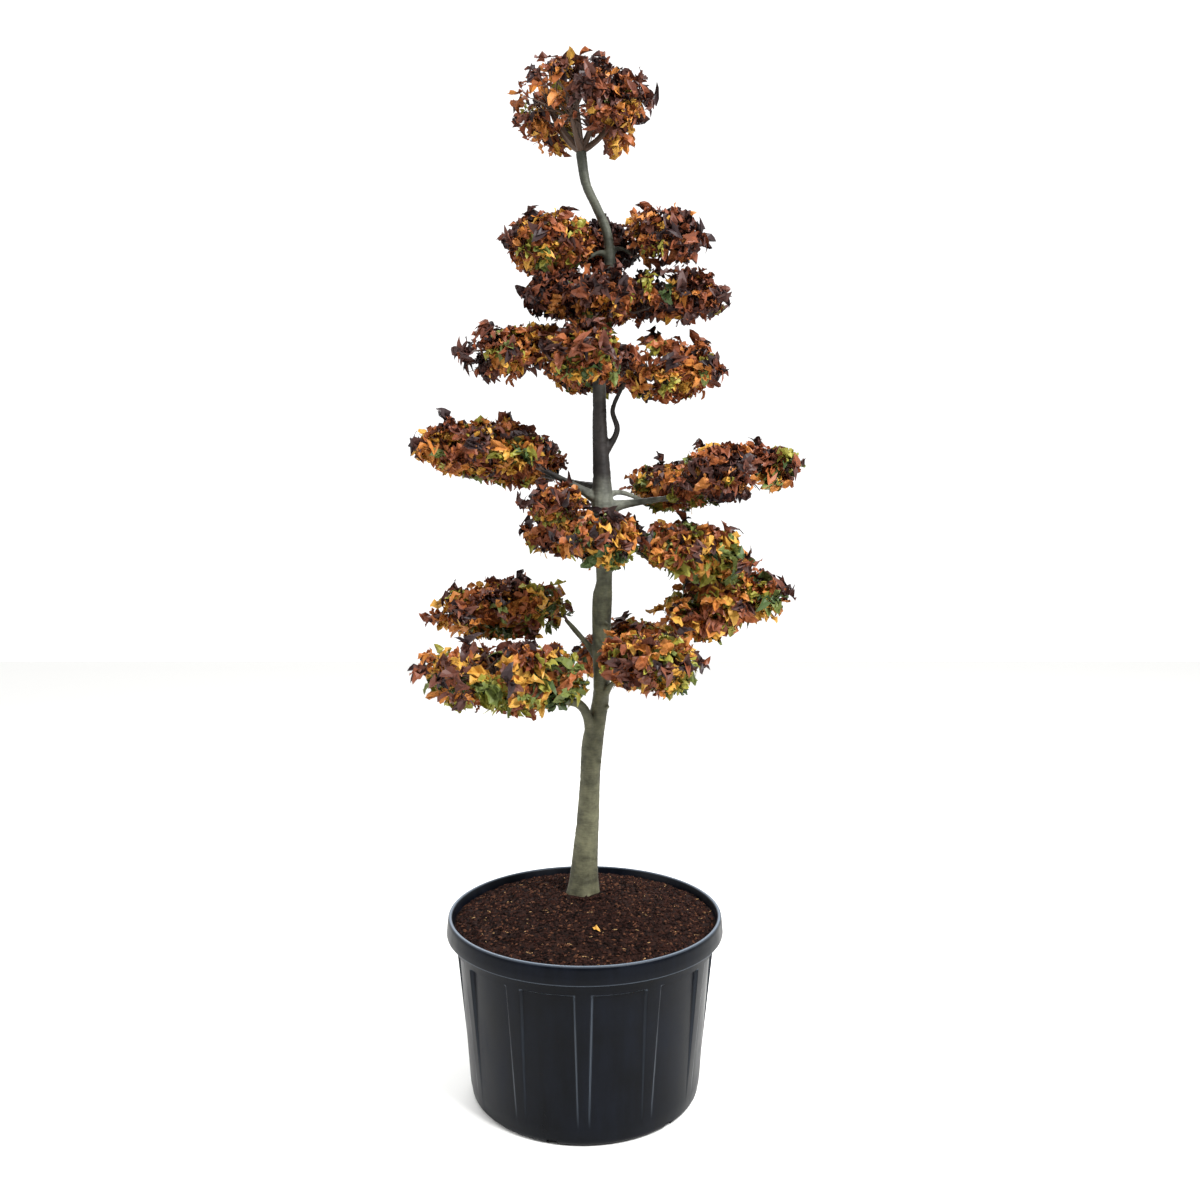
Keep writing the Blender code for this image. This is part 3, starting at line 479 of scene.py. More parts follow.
def strew_crumbs():
    """Strew crumbs of eight faces over the dome, one joined mesh with a plain colour for each kind."""
    rng = random.Random(11)
    points = []
    faces = []
    kinds = []
    for _ in range(CRUMB_COUNT):
        reach = (SOIL_EDGE_RADIUS - CRUMB_EDGE) * math.sqrt(rng.random())
        turn = rng.uniform(0, 2 * math.pi)
        x, y = reach * math.cos(turn), reach * math.sin(turn)
        if math.hypot(x - TRUNK_FOOT[0], y - TRUNK_FOOT[1]) < TRUNK_CLEARANCE:
            continue
        kind = rng.choices(range(4), CRUMB_SHARES)[0]
        size = rng.uniform(*(STRAW_SIZE if kind == STRAW else CRUMB_SIZE))
        long_side = rng.uniform(*(STRAW_STRETCH if kind == STRAW else CRUMB_STRETCH))
        spin = rng.uniform(0, math.pi)
        first = len(points)
        for a, b, c in CRUMB_CORNERS:
            a, b, c = a * size * long_side, b * size * 0.8, c * size * 0.7
            u = a * math.cos(spin) - b * math.sin(spin) + rng.uniform(-0.3, 0.3) * size
            v = a * math.sin(spin) + b * math.cos(spin) + rng.uniform(-0.3, 0.3) * size
            points.append((x + u, y + v, soil_height(x, y) + c + rng.uniform(-0.2, 0.5) * size))
        faces += [tuple(first + index for index in side) for side in CRUMB_SIDES]
        kinds += [kind] * len(CRUMB_SIDES)
    return points, faces, kinds


crumb_points, crumb_faces, crumb_kinds = strew_crumbs()
dark_crumb = soil_material("peat crumb, dark", "0D0605", "20110D")
crumbs = new_mesh("soil_crumbs", crumb_points, crumb_faces, dark_crumb)
for hex_colour in CRUMB_TINTS[1:]:
    crumbs.data.materials.append(plain_material("bark and straw crumb " + hex_colour, hex_colour,
                                                Roughness=0.95, Specular_IOR_Level=0.1))
crumbs.data.polygons.foreach_set("material_index", crumb_kinds)
hand_over(crumbs, "soil", "soil")

# %% [markdown]
# ## The plant's plan
# These are the same numbers that shaped the frame: the trunk's stations, and for each pad of
# leaves its place about the trunk, its half sizes and the bough that carries it.

# %% Trunk and pads
# Each station of the trunk: height, place to the right and to the back, width.
TRUNK_STATIONS = (
    (0.474, -0.006, 0.000, 0.069),
    (0.530, -0.002, 0.000, 0.062),
    (0.640, 0.007, 0.001, 0.054),
    (0.757, 0.013, 0.003, 0.048),
    (0.836, 0.019, 0.005, 0.050),
    (0.935, 0.037, 0.006, 0.039),
    (1.050, 0.038, 0.003, 0.041),
    (1.167, 0.041, -0.001, 0.047),
    (1.217, 0.045, -0.002, 0.038),
    (1.367, 0.042, -0.004, 0.051),
    (1.449, 0.040, -0.002, 0.042),
    (1.598, 0.034, 0.002, 0.033),
    (1.790, 0.036, 0.003, 0.029),
    (1.918, 0.057, 0.000, 0.025),
    (1.990, 0.051, -0.003, 0.022),
    (2.045, 0.028, -0.002, 0.021),
    (2.100, 0.003, 0.000, 0.022),
    (2.168, -0.007, 0.002, 0.024),
)
# Each pad: bearing, reach, height, half length, half width, half thickness, tilt, root height, girth.
PADS = {
    "tier1_front_left": (204, 0.238, 1.000, 0.205, 0.150, 0.090, 4, 0.805, 0.027),
    "tier1_front_right": (311, 0.160, 1.036, 0.125, 0.112, 0.078, 0, 0.930, 0.017),
    "tier1_right": (8, 0.272, 1.148, 0.172, 0.130, 0.075, 14, 1.060, 0.018),
    "tier1_back_left": (156, 0.250, 1.132, 0.200, 0.140, 0.076, -8, 1.020, 0.018),
    "tier1_back": (72, 0.235, 1.015, 0.150, 0.135, 0.078, 0, 0.960, 0.017),
    "tier2_front": (266, 0.108, 1.300, 0.085, 0.096, 0.064, 0, 1.262, 0.014),
    "tier2_right": (348, 0.205, 1.278, 0.135, 0.105, 0.070, -12, 1.285, 0.015),
    "tier2_back": (110, 0.160, 1.318, 0.125, 0.145, 0.064, 0, 1.300, 0.015),
    "tier3_left": (183, 0.262, 1.508, 0.165, 0.130, 0.076, 2, 1.390, 0.021),
    "tier3_left_inner": (200, 0.112, 1.380, 0.070, 0.075, 0.048, 0, 1.335, 0.012),
    "tier3_right": (358, 0.283, 1.452, 0.168, 0.135, 0.078, 6, 1.375, 0.023),
    "tier3_back_left": (139, 0.275, 1.485, 0.130, 0.115, 0.068, 0, 1.420, 0.016),
    "tier3_back_right": (52, 0.270, 1.425, 0.140, 0.125, 0.066, 0, 1.400, 0.016),
    "tier4_left": (184, 0.172, 1.722, 0.148, 0.112, 0.064, -2, 1.680, 0.014),
    "tier4_right": (352, 0.155, 1.690, 0.122, 0.112, 0.074, -4, 1.490, 0.016),
    "tier4_front": (260, 0.132, 1.705, 0.090, 0.090, 0.070, 0, 1.655, 0.012),
    "tier4_back": (95, 0.150, 1.712, 0.112, 0.120, 0.066, 0, 1.668, 0.013),
    "tier5_left": (190, 0.100, 1.852, 0.074, 0.070, 0.048, 0, 1.828, 0.010),
    "tier5_right": (355, 0.152, 1.843, 0.118, 0.095, 0.062, -4, 1.815, 0.012),
    "tier5_front": (272, 0.096, 1.838, 0.072, 0.070, 0.052, 0, 1.805, 0.010),
    "tier5_back": (98, 0.125, 1.858, 0.095, 0.100, 0.056, 0, 1.835, 0.011),
    "tier6_left": (184, 0.130, 1.964, 0.102, 0.092, 0.066, 0, 1.935, 0.011),
    "tier6_right": (357, 0.120, 1.974, 0.090, 0.088, 0.062, 0, 1.945, 0.011),
    "tier6_back": (92, 0.122, 1.985, 0.085, 0.095, 0.056, 0, 1.960, 0.010),
}
HEAD_CENTRE = (-0.006, 0.000, 2.264)
HEAD_HALF_SIZES = (0.160, 0.146, 0.106)
# Some boughs bend on their way; each bend is told from the bough's root.
BENDS = {
    "tier1_front_left": ((-0.008, -0.022, 0.085), (-0.030, -0.034, 0.122), (-0.075, -0.050, 0.132)),
    "tier4_right": ((0.036, 0.000, 0.060), (0.026, 0.000, 0.110)),
}
# 2 would make a pad's space an ellipsoid; more makes it fuller at its corners.
ROUNDNESS = 2.4
print("trunk stations", len(TRUNK_STATIONS), "pads", len(PADS) + 1)


# %% Curves through stations
def blend_along(stations, share):
    """Read a smooth curve through the stations at a share from 0 to their count less one."""
    index = min(int(share), len(stations) - 2)
    t = share - index
    picks = [max(0, index - 1), index, index + 1, min(len(stations) - 1, index + 2)]
    a, b, c, d = (np.array(stations[pick], float) for pick in picks)
    return b + 0.5 * t * (c - a + t * (2 * a - 5 * b + 4 * c - d + t * (3 * (b - c) + d - a)))


def smooth_route(stations, spacing):
    """Return evenly spaced stations on the smooth curve through the given ones."""
    steps = np.array([blend_along(stations, i / 12) for i in range((len(stations) - 1) * 12 + 1)])
    runs = np.concatenate([[0], np.cumsum(np.linalg.norm(np.diff(steps[:, :3], axis=0), axis=1))])
    goals = np.linspace(0, runs[-1], max(3, round(runs[-1] / spacing)) + 1)
    return np.array([np.interp(goals, runs, steps[:, k]) for k in range(steps.shape[1])]).T


LIMB_SPACING = 0.008
TRUNK_ROUTE = smooth_route([(x, y, z, width) for z, x, y, width in TRUNK_STATIONS], LIMB_SPACING)
print("trunk rings", len(TRUNK_ROUTE))

# %% Where pads and boughs are
# A bough enters its pad this far back along it and this far below its middle, as shares of its half
# sizes. One without bends rises first: how far out its bend is, and the share of its rise by then.
ENTRY_BACK = 0.76
ENTRY_DROP = 0.50
BOUGH_KNEE = 0.42
BOUGH_EARLY_RISE = 0.45
BOUGH_LEAST_RISE = 0.012


def trunk_at(height):
    """Return the trunk's middle and its width at a height."""
    columns = [np.interp(height, TRUNK_ROUTE[:, 2], TRUNK_ROUTE[:, k]) for k in (0, 1, 3)]
    return Vector((columns[0], columns[1], height)), columns[2]


def pad_space(pad):
    """Return a pad's middle, its three axes and its half sizes."""
    bearing, reach, height, long, wide, thick, tilt = pad[:7]
    turn, lift = math.radians(bearing), math.radians(tilt)
    out = Vector((math.cos(turn), math.sin(turn), 0))
    across = Vector((-out.y, out.x, 0))
    along = out * math.cos(lift) + Vector((0, 0, math.sin(lift)))
    middle = trunk_at(height)[0] + reach * out
    return middle, (along, across, along.cross(across)), (long, wide, thick)


def bough_route(name, pad):
    """Return a bough's stations from the trunk's middle to where it enters its pad."""
    middle, (along, _, up), (half_length, _, half_thick) = pad_space(pad)
    root = trunk_at(pad[7])[0]
    entry = middle - along * half_length * ENTRY_BACK - up * half_thick * ENTRY_DROP
    stations = [root]
    if name in BENDS:
        stations += [root + Vector(offset) for offset in BENDS[name]]
    else:
        level = Vector((entry.x - root.x, entry.y - root.y, 0))
        rise = max(BOUGH_LEAST_RISE, BOUGH_EARLY_RISE * (entry.z - root.z))
        stations.append(root + BOUGH_KNEE * level + Vector((0, 0, rise)))
    return smooth_route([tuple(point) for point in stations + [entry]], LIMB_SPACING)


SPACES = {name: pad_space(pad) for name, pad in PADS.items()}
LEVEL_AXES = (Vector((1, 0, 0)), Vector((0, 1, 0)), Vector((0, 0, 1)))
SPACES["head"] = (Vector(HEAD_CENTRE), LEVEL_AXES, HEAD_HALF_SIZES)
ROUTES = {name: bough_route(name, pad) for name, pad in PADS.items()}
print("boughs", len(ROUTES), "pads", len(SPACES))

# %% [markdown]
# ## The limbs
# Trunk and boughs are drawn as thick curves and joined. A voxel remesh makes them grow out of
# each other with the soft crotches of beech wood; relief then roughens the smooth bark a little.

# %% Draw the limbs
COLLAR_LENGTH = 0.018
COLLAR_SWELL = 0.45
BOUGH_TAPER = 0.42
HEAD_GIRTH = 0.0105
# The trunk starts inside the soil: the place and radius of its lowest ring.
TRUNK_START = (-0.008, 0, 0.452)
TRUNK_START_RADIUS = 0.037
# Each knot: height, bearing, radius.
KNOTS = ((0.915, -28, 0.0085), (0.786, -40, 0.0090), (0.851, 215, 0.0080), (1.112, -60, 0.0070),
         (1.232, -70, 0.0085), (0.668, 250, 0.0045), (0.560, -30, 0.0050), (1.345, -80, 0.0090))


def limb(name, places, radii):
    """Draw one limb as a poly curve of round section and turn it into a mesh."""
    curve = bpy.data.curves.new(name, "CURVE")
    curve.dimensions = "3D"
    curve.bevel_depth = 1.0
    curve.bevel_resolution = 6
    curve.use_fill_caps = True
    spline = curve.splines.new("POLY")
    spline.points.add(len(places) - 1)
    for point, place, radius in zip(spline.points, places, radii):
        point.co = (*place, 1)
        point.radius = radius
    thing = bpy.data.objects.new(name, curve)
    bpy.context.scene.collection.objects.link(thing)
    only(thing)
    bpy.ops.object.convert(target="MESH")
    return bpy.context.object


trunk_places = [TRUNK_START] + [tuple(row[:3]) for row in TRUNK_ROUTE]
trunk_radii = [TRUNK_START_RADIUS] + [0.5 * row[3] for row in TRUNK_ROUTE]
limbs = [limb("limbs", trunk_places, trunk_radii)]
BOUGH_ENDS = {}
for name, pad in PADS.items():
    route = ROUTES[name]
    runs = np.concatenate([[0], np.cumsum(np.linalg.norm(np.diff(route, axis=0), axis=1))])
    half_trunk = trunk_at(pad[7])[1] / 2
    collar = 1 + COLLAR_SWELL * np.exp(-np.maximum(runs - half_trunk, 0) / COLLAR_LENGTH)
    girths = 0.5 * pad[8] * (1 - BOUGH_TAPER * runs / runs[-1]) * collar
    limbs.append(limb("bough", [tuple(row) for row in route], girths))
    BOUGH_ENDS[name] = (Vector(route[-1]), Vector(route[-1] - route[-2]).normalized(), girths[-1])
BOUGH_ENDS["head"] = (Vector(TRUNK_ROUTE[-1][:3]), Vector((0, 0, 1)), HEAD_GIRTH)
for height, bearing, size in KNOTS:
    middle, width = trunk_at(height)
    turn = math.radians(bearing)
    place = middle + Vector((math.cos(turn), math.sin(turn), 0)) * (width / 2 - 0.35 * size)
    bpy.ops.mesh.primitive_ico_sphere_add(subdivisions=2, radius=size, location=place)
    bpy.context.object.scale = (1, 1, 0.7)
    limbs.append(bpy.context.object)
only(*limbs)
bpy.ops.object.join()
wood = bpy.context.object
wood.name = "limbs_bark"
settle(wood)
print("limbs joined", len(limbs))

# %% Grow the limbs together
VOXEL = 0.0024

blend = wood.modifiers.new("grow together", "REMESH")
blend.mode = "VOXEL"
blend.voxel_size = VOXEL
bpy.ops.object.modifier_apply(modifier="grow together")
soften = wood.modifiers.new("soften", "SMOOTH")
soften.factor = 0.6
soften.iterations = 4
bpy.ops.object.modifier_apply(modifier="soften")
print("points after growing together", len(wood.data.vertices))

# %% Roughen the bark and spread the roots
SOIL_LINE = 0.474
FLARE_LIMIT = 0.62
FLARE_HEIGHT = 0.035
FLARE_SPREAD = 0.16
FLARE_TOES = 5
FLARE_TURN = 0.6
FLARE_EVEN = 0.35


def bark_relief(place):
    """Return how far bark stands out here: swells of 1.4 mm, wrinkles across the limb, dents."""
    x, y, z = place
    swell = noise.noise(Vector((x * 30, y * 30, z * 9))) * 0.0014
    wrinkle = noise.noise(Vector((x * 60, y * 60, z * 210))) * 0.00045
    dent = max(0.0, noise.noise(Vector((x * 75, y * 75, z * 60 + 7))) - 0.32) * -0.004
    return swell + wrinkle + dent


normals = [vert.normal.copy() for vert in wood.data.vertices]
for vert, normal in zip(wood.data.vertices, normals):
    place = vert.co.copy()
    vert.co += normal * bark_relief(place)
    fade = math.exp(-(place.z - SOIL_LINE) / FLARE_HEIGHT) if place.z > SOIL_LINE else 1.0
    if fade > 0.02 and place.z < FLARE_LIMIT:
        arm = Vector((place.x - TRUNK_FOOT[0], place.y, 0))
        toe = 0.5 + 0.5 * math.cos(FLARE_TOES * math.atan2(arm.y, arm.x) + FLARE_TURN)
        vert.co += arm * fade * FLARE_SPREAD * (FLARE_EVEN + toe)
only(wood)
bpy.ops.object.shade_smooth()
least, most = 100 * FLARE_SPREAD * FLARE_EVEN, 100 * FLARE_SPREAD * (FLARE_EVEN + 1)
print("the roots spread the foot by", round(least), "to", round(most), "percent")


# %% Bark
# The bark's tone up the trunk: olive grey low down, palest where tier 3 leaves it, and a middling
# grey to the top. The near-black band just above tier 3, up to under tier 4, is painted shade where
# the pads overhang the trunk. Positions run from 0.45 m to 2.2 m in height.
BARK_FOOT, BARK_TOP = "565541", "3E4036"
BARK_TONES_AND_SHADE = ((0.27, "565541"), (0.42, "4C4D3B"), (0.545, "62645A"),
              (0.575, "201B19"), (0.66, "201B19"), (0.74, "42443A"))


def bark_material():
    """Return beech bark: thin, smooth and waxy, index 1.5, olive grey blotched with pale lichen."""
    material, tree, shader = new_material("european beech bark, young")
    place = add_node(tree, "ShaderNodeTexCoord")
    split = add_node(tree, "ShaderNodeSeparateXYZ", [(place.outputs["Object"], "Vector")])
    rise = add_node(tree, "ShaderNodeMapRange", [(split.outputs["Z"], "Value")],
                    From_Min=0.45, From_Max=2.2)
    # The tone runs up the trunk and holds the band of painted shade between tiers 3 and 4.
    tone = add_node(tree, "ShaderNodeValToRGB", [(rise.outputs["Result"], "Fac")])
    tone.color_ramp.elements[0].color = linear(BARK_FOOT)
    tone.color_ramp.elements[1].color = linear(BARK_TOP)
    for position, hex_colour in BARK_TONES_AND_SHADE:
        tone.color_ramp.elements.new(position).color = linear(hex_colour)
    patches = add_node(tree, "ShaderNodeTexNoise", [(place.outputs["Object"], "Vector")],
                       Scale=26.0, Detail=6.0, Roughness=0.62)
    shade = add_node(tree, "ShaderNodeMapRange", [(patches.outputs["Fac"], "Value")],
                     From_Min=0.32, From_Max=0.70, To_Min=0.35, To_Max=1.6)
    rings = add_node(tree, "ShaderNodeMapping", [(place.outputs["Object"], "Vector")], Scale=(60, 60, 420))
    pores = add_node(tree, "ShaderNodeTexNoise", [(rings.outputs["Vector"], "Vector")], Scale=1.0, Detail=3.0)
    fleck = add_node(tree, "ShaderNodeMapRange", [(pores.outputs["Fac"], "Value")],
                     From_Min=0.35, From_Max=0.65, To_Min=0.86, To_Max=1.12)
    both = add_node(tree, "ShaderNodeMath", [(shade.outputs["Result"], 0), (fleck.outputs["Result"], 1)],
                    operation="MULTIPLY")
    tinted = add_node(tree, "ShaderNodeVectorMath", [(tone.outputs["Color"], 0)], operation="SCALE")
    tree.links.new(both.outputs["Value"], tinted.inputs["Scale"])
    tree.links.new(tinted.outputs["Vector"], shader.inputs["Base Color"])
    bump = add_node(tree, "ShaderNodeBump", [(pores.outputs["Fac"], "Height")],
                    Strength=0.35, Distance=0.0008)
    tree.links.new(bump.outputs["Normal"], shader.inputs["Normal"])
    shader.inputs["Roughness"].default_value = 0.62
    shader.inputs["Specular IOR Level"].default_value = 0.3
    return material


wood.data.materials.clear()
wood.data.materials.append(bark_material())
hand_over(wood, "bark", "trunk", *["bough_" + name for name in PADS])

# %% [markdown]
# ## Growing the pads
# Every pad follows one rule. The bough runs on as a stem; twigs leave it for points spread
# evenly over the pad's rounded space; short sprays leave the twigs on alternate sides; and
# leaves sit on alternate sides of each spray. A few leaves stand a little past the space.

# %% The rule's numbers
SEED = 2126
# Twigs: how many, how much denser in the small upper pads, how far inside they end, and how
# strongly they leave hollows. Tip roundness below 2 makes a pad thin towards its rim.
TWIGS_PER_SQUARE_METRE = 500
UPPER_HEIGHT = 1.6
UPPER_TWIG_SHARE = 1.25
TIP_INSET = 0.020
TIP_ROUNDNESS = 1.7
HOLLOWS = 0.55
STRAY_TWIGS = 0.10
STEM_REACH = 0.55
TWIG_GIRTHS = (0.0021, 0.0009)
# Sprays: short shoots on the twigs, and the clumps that they stand in.
SPRAYS_PER_TWIG = 5
SPRAY_LENGTH = (0.018, 0.045)
CLUMPS_PER_METRE = 15.0
CLUMP_LEVEL = -0.10
CLUMP_RISE = 0.75
# The head is open where the trunk forks.
FORK_OPENING = 0.095
FORK_OPENING_HEIGHT = 2.19
# Leaves: their size, and how deep out they may stand in the space, where 1 is its outside. Above
# and below the thinning is taken from that depth, so a tier with less than nothing is fuller there.
LEAVES_PER_SPRAY = 5
LEAF_LENGTH = (0.020, 0.052)
LEAST_LEAF = 0.024
UPPER_LEAF_SHARE = 0.84
LEAF_BREADTH = 0.60
OUTER_DEPTH = 1.08
THINNING = {"tier1": 0.04, "tier2": 0.10, "tier3": 0.26, "tier4": -0.02, "tier5": -0.18,
            "tier6": -0.08, "head": 0.04}
LUMP_DEPTH = 0.72
LUMPS_PER_METRE = 12.0
# The ways, in a pad's own axes, in which single long shoots stand out.
STRAY_SHOOTS = ((1, 0, 0.1), (0.85, 0.5, 0), (0.85, -0.5, 0), (0.2, 1, 0.1), (0.2, -1, 0.1),
                (0.5, 0.3, 0.8), (-0.3, 0, 1))
print("twigs on a square metre", TWIGS_PER_SQUARE_METRE)


# %% Spaces
def depth_in(space, point):
    """Return 0 in the middle of a space and 1 on its rounded outside."""
    middle, axes, sizes = space
    offset = point - middle
    total = sum(abs(offset.dot(axis) / size) ** ROUNDNESS for axis, size in zip(axes, sizes))
    return total ** (1 / ROUNDNESS)


def point_in(space, direction, share):
    """Return the point at a share of the way from a space's middle to its outside."""
    middle, axes, sizes = space
    reach = sum(abs(d) ** ROUNDNESS for d in direction) ** (-1 / ROUNDNESS)
    return middle + sum((axis * (size * d * reach * share) for axis, size, d in zip(axes, sizes, direction)),
                        Vector())


def outward(space, point):
    """Return the way straight out of a space at a point."""
    middle, axes, sizes = space
    way = Vector()
    for axis, size in zip(axes, sizes):
        run = (point - middle).dot(axis) / size
        way += axis * (math.copysign(abs(run) ** (ROUNDNESS - 1), run) / size)
    return way.normalized()


def area_of(sizes):
    """Return about the area of an ellipsoid of these half sizes."""
    pairs = [(a * b) ** 1.6 for a, b in zip(sizes, sizes[1:] + sizes[:1])]
    return 4 * math.pi * (sum(pairs) / 3) ** (1 / 1.6)


def jitter(rng, amount):
    """Return a small random offset."""
    return Vector([rng.uniform(-amount, amount) for _ in range(3)])


print("head's outside", round(area_of(HEAD_HALF_SIZES), 3), "square metres")


# %% Routes of twigs
def bend_between(start, lift, end, steps):
    """Return points on a curve that leaves its start by way of a lifted middle."""
    middle = start.lerp(end, 0.5) + lift
    shares = [i / steps for i in range(steps + 1)]
    return [start.lerp(middle, t).lerp(middle.lerp(end, t), t) for t in shares]


def fork_limbs(space, start, rng):
    """Return the limbs into which the trunk's top forks inside the head."""
    forks = []
    for k in range(8):
        turn = 2.4 * k + rng.uniform(-0.3, 0.3)
        level = 0.15 + 0.11 * k if k < 7 else -0.1
        flat = math.sqrt(1 - min(0.95, level) ** 2)
        end = point_in(space, (flat * math.cos(turn), flat * math.sin(turn), level), 0.66)
        forks.append(bend_between(start, Vector((0, 0, -0.018)) + jitter(rng, 0.012), end, 6))
    return forks


def twig_tip(space, direction, number, rng):
    """Return where a twig ends: a leaf's length inside the space, and further in at its hollows."""
    reach = (point_in(space, direction, 1.0) - space[0]).length
    share = 1 - TIP_INSET / reach
    share *= sum(abs(d) ** ROUNDNESS for d in direction) ** (1 / ROUNDNESS)
    share *= sum(abs(d) ** TIP_ROUNDNESS for d in direction) ** (-1 / TIP_ROUNDNESS)
    if rng.random() > STRAY_TWIGS:
        lump = noise.noise(Vector(direction) * 3.1 + Vector((number * 7.3, 0, 0)))
        share *= 1 - HOLLOWS * min(1.0, max(0.0, 0.45 + 1.3 * lump + rng.uniform(-0.2, 0.2))) ** 1.2
    return point_in(space, direction, share)


# %% Where leaves may grow
NEIGHBOUR_DISTANCE = 0.45
NEIGHBOURS = {name: [space for other, space in SPACES.items()
                     if other != name and (space[0] - SPACES[name][0]).length < NEIGHBOUR_DISTANCE]
              for name in SPACES}


def outer_limit(name, point):
    """Return how deep out leaves may stand here: by tier above and below, and less in hollows."""
    middle, axes, sizes = SPACES[name]
    level = min(1.0, abs((point - middle).dot(axes[2])) / sizes[2])
    lump = noise.noise(point * LUMPS_PER_METRE + Vector((0, 5.3, 0)))
    lump += 0.4 * noise.noise(point * 2.7 * LUMPS_PER_METRE)
    return OUTER_DEPTH - THINNING[name.split("_")[0]] * level - LUMP_DEPTH * min(0.7, max(0.0, lump + 0.04))


def in_own_space(name, point):
    """Say whether a point lies in this pad's space and not deeper in a neighbour's."""
    own = depth_in(SPACES[name], point)
    if own > outer_limit(name, point):
        return False
    return all(depth_in(space, point) > own for space in NEIGHBOURS[name])


def clear_of_trunk(point, room):
    """Say whether a point is outside the trunk by some room."""
    if point.z > TRUNK_STATIONS[-1][0]:
        return True
    middle, width = trunk_at(point.z)
    return math.hypot(point.x - middle.x, point.y - middle.y) > width / 2 + room


def in_clump(space, point, number):
    """Say whether leaves grow here: they stand in clumps, with more gaps the further out."""
    field = noise.noise(point * CLUMPS_PER_METRE + Vector((number * 3.1, 0, 0)))
    level = CLUMP_LEVEL + CLUMP_RISE * max(0.0, depth_in(space, point) - 0.72)
    if space is SPACES["head"]:
        fork = Vector((point.x - HEAD_CENTRE[0], point.y, 0.7 * (point.z - FORK_OPENING_HEIGHT)))
        level += 0.10 + 1.2 * max(0.0, 1 - fork.length / FORK_OPENING)
    return field > level


print("pads with neighbours", sum(bool(spaces) for spaces in NEIGHBOURS.values()))


# %% One pad
def grow_pad(name, number, rng):
    """Return a pad's twigs as routes with girths, and its leaves as rows of numbers."""
    space = SPACES[name]
    middle, axes, sizes = space
    start, way, girth = BOUGH_ENDS[name]
    stem_end = middle + axes[0] * (sizes[0] * STEM_REACH)
    stations = [start - way * 0.01, start + way * 0.012, middle, stem_end]
    stem = smooth_route([tuple(station) for station in stations], 0.02)
    twigs = [(stem, np.linspace(girth, 0.35 * girth, len(stem)), 6)]
    forks = fork_limbs(space, start, rng) if name == "head" else []
    if forks:
        twigs = [(np.array(fork), np.linspace(0.0085, 0.0026, len(fork)), 7) for fork in forks]
    leaves = []
    density = TWIGS_PER_SQUARE_METRE
    count = round(area_of(sizes) * density * (UPPER_TWIG_SHARE if middle.z > UPPER_HEIGHT else 1.0))
    for i in range(count):
        level = 1 - 2 * (i + 0.5) / count
        turn = i * math.pi * (3 - math.sqrt(5)) + rng.uniform(-0.3, 0.3)
        flat = math.sqrt(1 - level * level)
        tip = twig_tip(space, (flat * math.cos(turn), flat * math.sin(turn), level), number, rng)
        if not in_own_space(name, tip) or not clear_of_trunk(tip, 0.012):
            continue
        share = max(-0.6, min(1.0, (tip - middle).dot(axes[0]) / sizes[0]))
        node = middle + (stem_end - middle) * max(0.0, share) + (start - middle) * max(0.0, -share)
        if forks:
            node = min(forks, key=lambda fork: (fork[-1] - tip).length)[4]
        route = bend_between(node, Vector((0, 0, 0.010)) + jitter(rng, 0.010), tip, 4)
        twigs.append((np.array(route), np.linspace(*TWIG_GIRTHS, 5), 4))
        out = outward(space, tip)
        growth = (tip - node).normalized()
        side = out.cross(growth)
        side = side.normalized() if side.length > 0.15 else growth.cross(Vector((0, 0, 1))).normalized()
        for k in range(SPRAYS_PER_TWIG):
            at = 1.0 if k == 0 else rng.uniform(0.45, 0.95)
            root = route[int(at * 4)].lerp(route[min(4, int(at * 4) + 1)], at * 4 % 1)
            if not in_clump(space, root, number):
                continue
            sign = 1 if k % 2 else -1
            lean = 0.15 if k == 0 else rng.uniform(0.7, 1.3)
            head = growth + side * sign * lean + out * rng.uniform(-0.1, 0.6) + jitter(rng, 0.35)
            head.normalize()
            leaves += grow_spray(name, root, head, out, twigs, rng)
    node = middle.lerp(stem_end, 0.5)
    for direction in STRAY_SHOOTS:
        leaves += grow_stray(name, Vector(direction).normalized(), node, twigs, rng)
    return twigs, leaves


# %% One stray shoot
def grow_stray(name, direction, node, twigs, rng):
    """Grow one long shoot that stands out of the pad, with a few dark, curled leaves at its end."""
    space = SPACES[name]
    tip = point_in(space, direction, 0.93)
    if any(depth_in(other, tip) < 0.9 for other in NEIGHBOURS[name]) or not clear_of_trunk(tip, 0.03):
        return []
    route = bend_between(node, jitter(rng, 0.02), tip, 5)
    twigs.append((np.array(route), np.linspace(0.0024, 0.0009, 6), 4))
    rows = []
    for k in range(6):
        base = route[4].lerp(tip, k / 5)
        lead = ((tip - node).normalized() + jitter(rng, 0.7)).normalized()
        face = (outward(space, tip) + jitter(rng, 0.9)).normalized()
        size = rng.uniform(0.026, 0.046)
        rows.append((*base, *lead, *face, size, rng.uniform(0.6, 1.9), rng.uniform(0.5, 1.1),
                     rng.uniform(-1, 1), rng.choice((0, 0, 1, 1, 2, 3))))
    return rows


